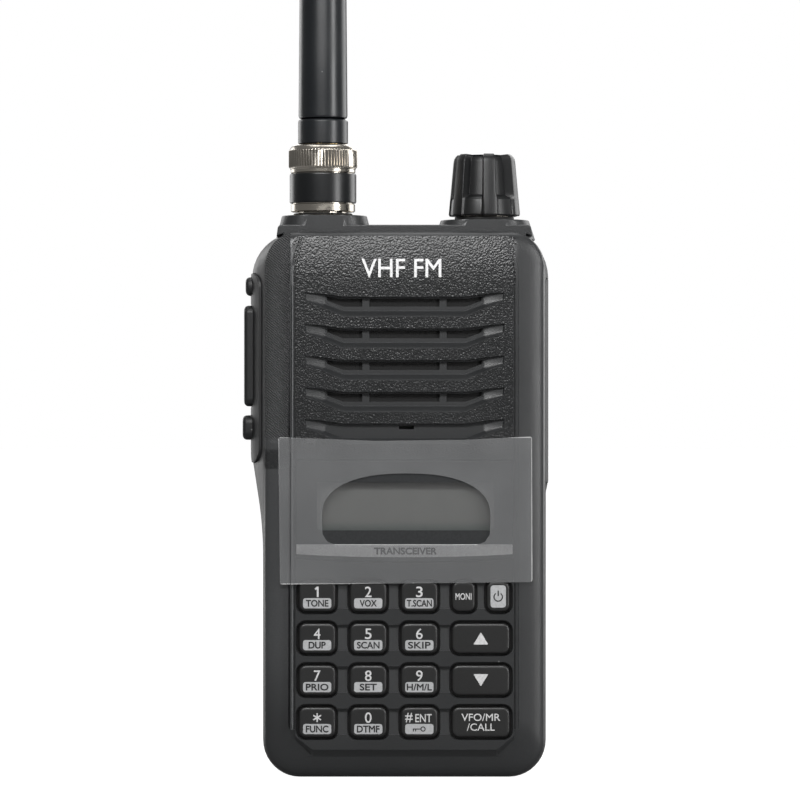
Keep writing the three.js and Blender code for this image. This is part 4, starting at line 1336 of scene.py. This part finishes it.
def knob():
    """A tapered knob: six ridges, flutes open at the top, and a skirt that steps out below the flutes."""
    base, top = KNOB_LOW.z, KNOB_HIGH.z
    steps = 180
    heights = [base, base + 0.12, base + 0.4, KNOB["step"] - 0.35, KNOB["step"], KNOB["step"] + 0.35,
               KNOB["step"] + 0.75]
    heights += [KNOB["step"] + 1.4, 121.0, top - 1.5, top - 0.9, top - 0.5, top - 0.2, top]

    def outer_radius(height):
        share = (height - base) / (top - base)
        radius = 7.42 - 1.15 * share
        if height < base + 0.4:
            radius -= 0.25 * (1 - (height - base) / 0.4) ** 2
        if height > top - 1.5:
            radius -= 0.75 * ((height - top + 1.5) / 1.5) ** 2.4
        return radius

    def ridge_share(angle):
        pitch = 360 / KNOB["ridges"]
        off = abs((math.degrees(angle) + 90 - KNOB["ridge_angle"] + pitch / 2) % pitch - pitch / 2)
        edge = (KNOB["ridge_width"] / 2 + 1.6 - off) / 3.2
        edge = min(1.0, max(0.0, edge))
        return edge * edge * (3 - 2 * edge)

    def depth(height):
        rise = min(1.0, max(0.0, (height - KNOB["step"] + 0.1) / 0.8))
        return KNOB["skirt"] + (KNOB["flute"] - KNOB["skirt"]) * rise

    skin = bmesh.new()
    rows = []
    for height in heights:
        row = []
        for k in range(steps):
            angle = 2 * math.pi * k / steps
            radius = outer_radius(height) - depth(height) * (1 - ridge_share(angle))
            lift = -0.55 * (1 - ridge_share(angle)) if height >= top - 0.21 else 0.0
            row.append(skin.verts.new((KNOB_AXIS.x + radius * math.cos(angle),
                                       KNOB_AXIS.y + radius * math.sin(angle), height + lift)))
        rows.append(row)
    crown = [(3.9, top - 0.12), (3.6, top - 0.45), (0.6, top - 0.5)]
    for radius, height in crown:
        rows.append([skin.verts.new((KNOB_AXIS.x + radius * math.cos(2 * math.pi * k / steps),
                                     KNOB_AXIS.y + radius * math.sin(2 * math.pi * k / steps), height))
                     for k in range(steps)])
    blank = banded(skin, rows)
    bore = turned([(0, base - 1), (5.3, base - 1), (5.3, 117), (3.1, 117), (3.1, 122.1), (0, 122.1)],
                  KNOB_AXIS, 48)
    return cut(blank, bore)


piece("knob", knob(), "volume", KNOB_PLASTIC, stands_for=["volume_knob"], crisp=40)
piece("knob_seal_ring", turned([(4.95, 113.12), (5.95, 113.12), (6.05, 113.25), (6.05, 113.65), (5.9, 113.8),
                                (4.95, 113.8)], KNOB_AXIS, 64, ring=True), "body", SEAL_RUBBER,
      stands_for=["knob_seal"])


# ---- Antenna ----
def knurled_sleeve():
    """The coupling sleeve: a bright collar, a groove for the band, and a straight-knurled ring above."""
    base, top = SLEEVE_LOW.z, SLEEVE_HIGH.z
    ribs = 68
    steps = ribs * 6
    # radius, height, and how much of the knurl shows there
    profile = [(6.3, base, 0), (6.53, base + 0.15, 0), (6.53, base + 1.5, 0), (6.38, base + 1.6, 0),
               (6.2, base + 1.6, 0), (6.2, BAND_HIGH.z + 0.1, 0), (6.45, BAND_HIGH.z + 0.1, 0),
               (6.6, BAND_HIGH.z + 0.25, 0),
               (6.6, 123.45, 0), (6.72, 123.6, 0), (6.74, 123.72, 0), (6.98, 123.95, 1), (7.0, 124.1, 1),
               (7.0, 127.15, 1), (6.97, 127.3, 0.5), (6.9, 127.4, 0), (6.72, 127.75, 0), (6.4, 128.15, 0),
               (5.95, 128.42, 0), (5.6, top, 0),
               (5.45, top, 0), (5.45, 127.2, 0), (5.8, 127.2, 0), (5.8, base, 0)]
    skin = bmesh.new()
    rows = []
    for radius, height, knurl in profile:
        row = []
        for k in range(steps):
            angle = 2 * math.pi * k / steps
            wave = abs((k % 6) / 3 - 1)
            r = radius - 0.2 * knurl * wave
            row.append(skin.verts.new((ANTENNA_AXIS.x + r * math.cos(angle),
                                       ANTENNA_AXIS.y + r * math.sin(angle),
                                       height)))
        rows.append(row)
    return banded(skin, rows, closed=True)


piece("coupling", knurled_sleeve(), "coupling", NICKEL, stands_for=["coupling_sleeve"], crisp=25)
piece("grip_band", turned([
    (6.3, BAND_LOW.z), (6.6, BAND_LOW.z), (6.75, BAND_LOW.z + 0.12), (6.8, BAND_LOW.z + 0.35),
    (6.8, BAND_HIGH.z - 0.35), (6.75, BAND_HIGH.z - 0.12), (6.6, BAND_HIGH.z), (6.3, BAND_HIGH.z),
], ANTENNA_AXIS, 96, ring=True), "coupling", BAND_PLASTIC, stands_for=["coupling_band"])
piece("ferrule", turned([
    (0, FERRULE_LOW.z), (4.8, FERRULE_LOW.z), (5.05, FERRULE_LOW.z + 0.12), (5.1, FERRULE_LOW.z + 0.35),
    (5.1, FERRULE_HIGH.z - 0.55), (5.0, FERRULE_HIGH.z - 0.25), (4.75, FERRULE_HIGH.z - 0.05),
    (4.5, FERRULE_HIGH.z), (0, FERRULE_HIGH.z),
], ANTENNA_AXIS, 96), "antenna", WHIP_SHEATH, stands_for=["antenna_ferrule"])


def whip():
    """The flexible sheath: eased at its foot, tapering evenly to a rounded tip."""
    base, tip = WHIP_LOW.z, WHIP_HIGH.z
    thin = 3.9
    profile = [(0, base), (4.45, base), (4.85, base + 0.2), (5.0, base + 0.6)]
    profile += [(5.0 - (5.0 - thin) * k / 12, base + 0.6 + (tip - base - 4.5) * k / 12) for k in range(1, 13)]
    end = profile[-1][1]
    profile += [(thin * math.cos(t), end + (tip - end) * math.sin(t)) for t in
                [math.pi / 2 * k / 8 for k in range(1, 8)]]
    profile.append((0, tip))
    return turned(profile, ANTENNA_AXIS, 96)


piece("whip", whip(), "antenna", WHIP_SHEATH, stands_for=["antenna_whip"])
piece("socket_seal_ring", turned([(5.15, 114.2), (5.85, 114.2), (6.0, 114.3), (6.0, 114.4), (5.85, 114.5),
                                  (5.15, 114.5)], ANTENNA_AXIS, 64, ring=True), "body", SEAL_RUBBER,
      stands_for=["antenna_seal"])
seat_profile = [(5.15, 114.02), (6.5, 114.02), (6.6, 114.08), (6.5, 114.16), (5.15, 114.16)]
piece("socket_seat", turned(seat_profile, ANTENNA_AXIS, ring=True), "body", NICKEL)


# ---- Transmit key and its surround ----
def side_pillow(low, high, face, base, radius, ease):
    """A soft-cornered block standing out of the left side, between two corners of its side view."""
    outline = box_outline(low[0], high[0], low[1], high[1], radius, 6)
    return eased_plate(outline, face, base, ease, "x", rows=5)


def transmit_key():
    shape = side_pillow((PTT_LOW.y + 1, 75.2), (PTT_HIGH.y, 95.7), PTT_LOW.x, -26.4, 1.6, 0.9)
    grooves = [plate(box_outline(PTT_LOW.y + 2.2, PTT_HIGH.y - 1.2, z - 0.3, z + 0.3, 0.28), PTT_LOW.x - 1,
                     PTT_LOW.x + 0.3, "x") for z in (81.35, 84.05, 86.75, 89.45)]
    flange = box(-26.6, -25.8, PTT_LOW.y, PTT_HIGH.y, PTT_LOW.z, PTT_HIGH.z)
    return joined(cut(shape, *grooves), flange)


piece("transmit_key", transmit_key(), "ptt", SIDE_RUBBER, stands_for=["ptt_key"])


def surround():
    pad = softened(flush(span_outline(PAD_LOW, PAD_HIGH, 0.0, 3.0, 8), PAD_BASE, -40, 0.28), 0.25, 3)
    bumps = [side_pillow((PTT_LOW.y + 1.2, low), (PTT_HIGH.y - 0.3, high), face, -30.0, 1.7, 0.9)
             for low, high, face in ((97.7, 101.5, -32.3), (68.4, 73.4, -32.9))]
    hole = box_outline(PTT_LOW.y + 0.7, PTT_HIGH.y + 0.3, 74.9, 96.0, 1.8)
    return cut(joined(pad, *bumps), plate(hole, -40, -20, "x"))


piece("side_pad", surround(), "body", SIDE_RUBBER, stands_for=["ptt_surround"])


def jack_flap():
    outline = span_outline(FLAP_LOW, FLAP_HIGH, 0.0, 1.4, 8)
    flap = softened(flush(outline, FLAP_PLATE, 40, 0.02), 0.2)
    stubs = [rod("x", 1.6, FLAP_PLATE - 1, FLAP_PLATE + 0.3, site, 32) for site in JACKS]
    marks = [plate(box_outline(-12.8, -7.4, z - 0.25, z + 0.25, 0.2), FLAP_HIGH.x + 1, FLAP_HIGH.x - 0.3, "x")
             for z in (62.0, 63.4, 64.8)]
    return joined(cut(flap, *marks), *stubs)


piece("jack_flap", jack_flap(), "jack_flap", SIDE_RUBBER, stands_for=["jack_cover"])


# ---- Battery ----
CONTACTS = [(x, 9.0) for x in (-9, -3, 3, 9)]  # the charging contacts on its back, as (x, z)


def battery_ring(inset, foot, top, corner):
    half = BATTERY_HIGH.x - inset
    return box_outline(-half, half, foot, top, corner, 8)


def battery_case():
    back = BATTERY_HIGH.y
    low, top = BATTERY_LOW.z, BATTERY_HIGH.z
    outside = lofted([
        (BATTERY_LOW.y, battery_ring(0.2, low + 0.2, top - 0.2, 6.3)),
        (BATTERY_LOW.y + 0.2, battery_ring(0.0, low, top, 6.5)),
        (12.5, battery_ring(0.0, low, top, 6.5)),
        (14.2, battery_ring(0.15, low, top - 0.3, 6.4)),
        (15.8, battery_ring(0.6, low + 0.1, top - 1.6, 6.2)),
        (17.0, battery_ring(1.4, low + 0.4, top - 3.2, 5.8)),
        (17.8, battery_ring(2.4, low + 0.9, top - 4.8, 5.2)),
        (18.15, battery_ring(3.4, low + 1.5, top - 5.9, 4.6)),
        (back, battery_ring(4.2, low + 2.1, top - 6.8, 4.0)),
    ])
    inside = lofted([(BATTERY_LOW.y - 1, battery_ring(1.5, 5.0, 97.4, 4.5)),
                     (16.2, battery_ring(1.5, 5.0, 95, 4.5)),
                     (16.75, battery_ring(3.0, 6.0, 92.6, 4.0))])
    label = lofted([(back + 0.5, box_outline(-18.5, 18.5, 40, 74, 1.8)),
                    (back - 0.3, box_outline(-18, 18, 40.5, 73.5, 1.5))])
    grips = [lofted([(back + 0.5, box_outline(-17, 17, z - 0.7, z + 0.7, 0.6)),
                     (back - 0.45, box_outline(-16.6, 16.6, z - 0.35, z + 0.35, 0.3))])
             for z in (80, 82.4, 84.8, 87.2)]
    guides = [plate(box_outline(11.4, 13.0, -2, 58, 0.7), side * 32, side * (BATTERY_HIGH.x - 0.8), "x")
              for side in (-1, 1)]
    wells = [rod("y", 1.9, back - 0.4, back + 0.6, site, 32) for site in CONTACTS]
    slot = box(-LATCH_HIGH.x - 0.4, LATCH_HIGH.x + 0.4, 0, LATCH_HIGH.y + 2.4, -5, LATCH_HIGH.z + 0.4)
    return cut(cut(cut(outside, inside), label, *grips, *guides, *wells), slot)


piece("battery_case", battery_case(), "battery", BATTERY_PLASTIC, stands_for=["battery_shell"])
contacts = [rod("y", 1.5, BATTERY_HIGH.y - 0.15, BATTERY_HIGH.y - 0.7, site, 32, 0.15) for site in CONTACTS]
piece("charge_contacts", merged(contacts), "battery", GOLD)


def lid():
    low, top = LID_LOW.z, LID_HIGH.z
    blank = lofted([
        (LID_LOW.y, battery_ring(0.2, low + 0.2, top - 0.2, 6.3)),
        (LID_LOW.y + 0.2, battery_ring(0.0, low, top, 6.5)),
        (LID_HIGH.y - 0.15, battery_ring(0.0, low, top, 6.5)),
        (LID_HIGH.y, battery_ring(0.15, low + 0.15, top - 0.15, 6.4)),
    ])
    stems = [box(x - 1.9, x + 1.9, 0, 4, z - 3.4, z + 11.9) for x, z in LUGS]
    heads = [box(x - 3.4, x + 3.4, 3.1, 4.9, z - 3.45, z + 11.95) for x, z in LUGS]
    entries = [box(x - 3.5, x + 3.5, 0, 4.85, z + 5.1, z + 11.85) for x, z in LUGS]
    slot = box(-LATCH_HIGH.x - 0.4, LATCH_HIGH.x + 0.4, 0, 20, -5, LATCH_HIGH.z + 0.4)
    return cut(cut(cut(blank, *stems, slot), *heads), *entries)


piece("battery_front", lid(), "battery", BATTERY_PLASTIC, stands_for=["battery_lid"])


def latch():
    outline = box_outline(LATCH_LOW.x, LATCH_HIGH.x, LATCH_LOW.y, LATCH_HIGH.y, 0.6)
    plate_part = eased_plate(outline, LATCH_LOW.z, LATCH_HIGH.z, 0.25, "z", both=True)
    grips = [plate(box_outline(-6, 6, y - 0.3, y + 0.3, 0.25), LATCH_LOW.z - 1, LATCH_LOW.z + 0.35, "z")
             for y in (4.6, 5.8, 7.0, 8.2)]
    return cut(plate_part, *grips)


piece("latch", latch(), "latch", KNOB_PLASTIC, stands_for=["battery_latch"])


# ---- Inner parts keep their CAD shapes and get real finishes ----
FINISHES = {
    "rubber": SEAL_RUBBER, "keypad_rubber": KEY_WELL, "nickel": NICKEL, "gold": GOLD, "lcd": CRYSTAL,
    "white_plastic": PALE_PLASTIC, "steel": STEEL, "cloth": CLOTH, "circuit_board": BOARD, "cell_foil": FOIL,
    "shell": BATTERY_PLASTIC, "chassis": CHASSIS_PAINT, "key_plastic": KEY_CAP, "knob_plastic": KNOB_PLASTIC,
    "antenna_sheath": WHIP_SHEATH, "display_window": MASK_INK, "film": FILM_SHEET,
}
for part in frame["record"]["subparts"]:
    node = frame["nodes"][part["node"]]
    node.data.materials.clear()
    node.data.materials.append(FINISHES[part["material_slot"]])


# ---- Stage, lights and camera, in metres ----
def stage_floor():
    skin = bmesh.new()
    bmesh.ops.create_circle(skin, cap_ends=True, segments=64, radius=6.0)
    floor = solid(skin, "floor")
    floor.location.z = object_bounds()[0].z - 0.0001
    material, graph, shader = start("pale floor")
    place = graph.place()
    drift = graph.add("ShaderNodeTexNoise", {"Vector": place, "Scale": 2.0})
    tone = graph.mix(drift.outputs["Fac"], (0.2, 0.2, 0.2, 1.0), (0.24, 0.24, 0.24, 1.0))
    graph.feed(shader, {"Base Color": tone})
    seen = graph.add("ShaderNodeLightPath").outputs["Is Camera Ray"]
    graph.feed(shader, {"Emission Strength": graph.ramp(seen, 0.0, 1.0, 0.04, 1.0), "Roughness": 0.9})
    graph.feed(shader, {"Specular IOR Level": 0.0, "Emission Color": (1, 1, 1, 1)})
    floor.data.materials.append(material)


def softbox(name, place, target, width, height, power, colour=(1, 1, 1)):
    lamp = bpy.data.lights.new(name, "AREA")
    lamp.shape = "RECTANGLE"
    lamp.size = width
    lamp.size_y = height
    lamp.energy = power
    lamp.color = colour
    holder = linked(name, lamp)
    holder.location = place
    holder.rotation_euler = (Vector(target) - Vector(place)).to_track_quat("-Z", "Y").to_euler()
    holder.visible_camera = False


def white_room(camera_level=1.0, light_level=0.22):
    world = bpy.data.worlds.new("white room")
    world.use_nodes = True
    graph = Graph(world.node_tree)
    sky = world.node_tree.nodes["Background"]
    seen = graph.add("ShaderNodeLightPath").outputs["Is Camera Ray"]
    strength = graph.ramp(seen, 0.0, 1.0, light_level, camera_level)
    graph.feed(sky, {"Strength": strength, "Color": (1, 1, 1, 1)})
    bpy.context.scene.world = world


def camera():
    """A long lens straight in front of the radio, level with the middle of what it frames."""
    frame_width = 0.1613  # seen across the radio's front face
    distance = 0.9
    sensor = 36.0
    eye = bpy.data.cameras.new("camera")
    eye.sensor_width = sensor
    eye.lens = sensor * distance / frame_width
    eye.clip_start = 0.01
    eye.clip_end = 100.0
    holder = linked("camera", eye)
    holder.location = (-0.0009, FRONT * MM - distance, 0.0765)
    holder.rotation_euler = (math.radians(90), 0, 0)
    bpy.context.scene.camera = holder


def around(azimuth, distance, height):
    """A place round the radio: azimuth in degrees from straight in front, positive to the viewer's right."""
    angle = math.radians(azimuth)
    return (distance * math.sin(angle), -distance * math.cos(angle), height)


MIDDLE = (0, 0, 0.07)
stage_floor()
softbox("top front", (-0.04, -0.26, 0.24), (0, 0, 0.1), 0.2, 0.06, 0.62)
softbox("front fill", (-0.15, -1.0, 0.75), MIDDLE, 0.5, 0.3, 1.8)
softbox("right strip", around(50, 0.5, 0.14), (0, 0, 0.14), 0.12, 0.5, 1.9)
softbox("left panel", around(-138, 0.55, 0.14), MIDDLE, 0.3, 0.5, 1.1)
softbox("right panel", around(125, 0.55, 0.14), MIDDLE, 0.35, 0.5, 1.6)
softbox("back fill", around(170, 0.9, 0.55), MIDDLE, 0.8, 0.5, 4.0)
softbox("above", (0, 0.1, 0.75), MIDDLE, 0.5, 0.4, 2.0)
white_room()
camera()
bpy.context.scene.view_settings.view_transform = "Standard"
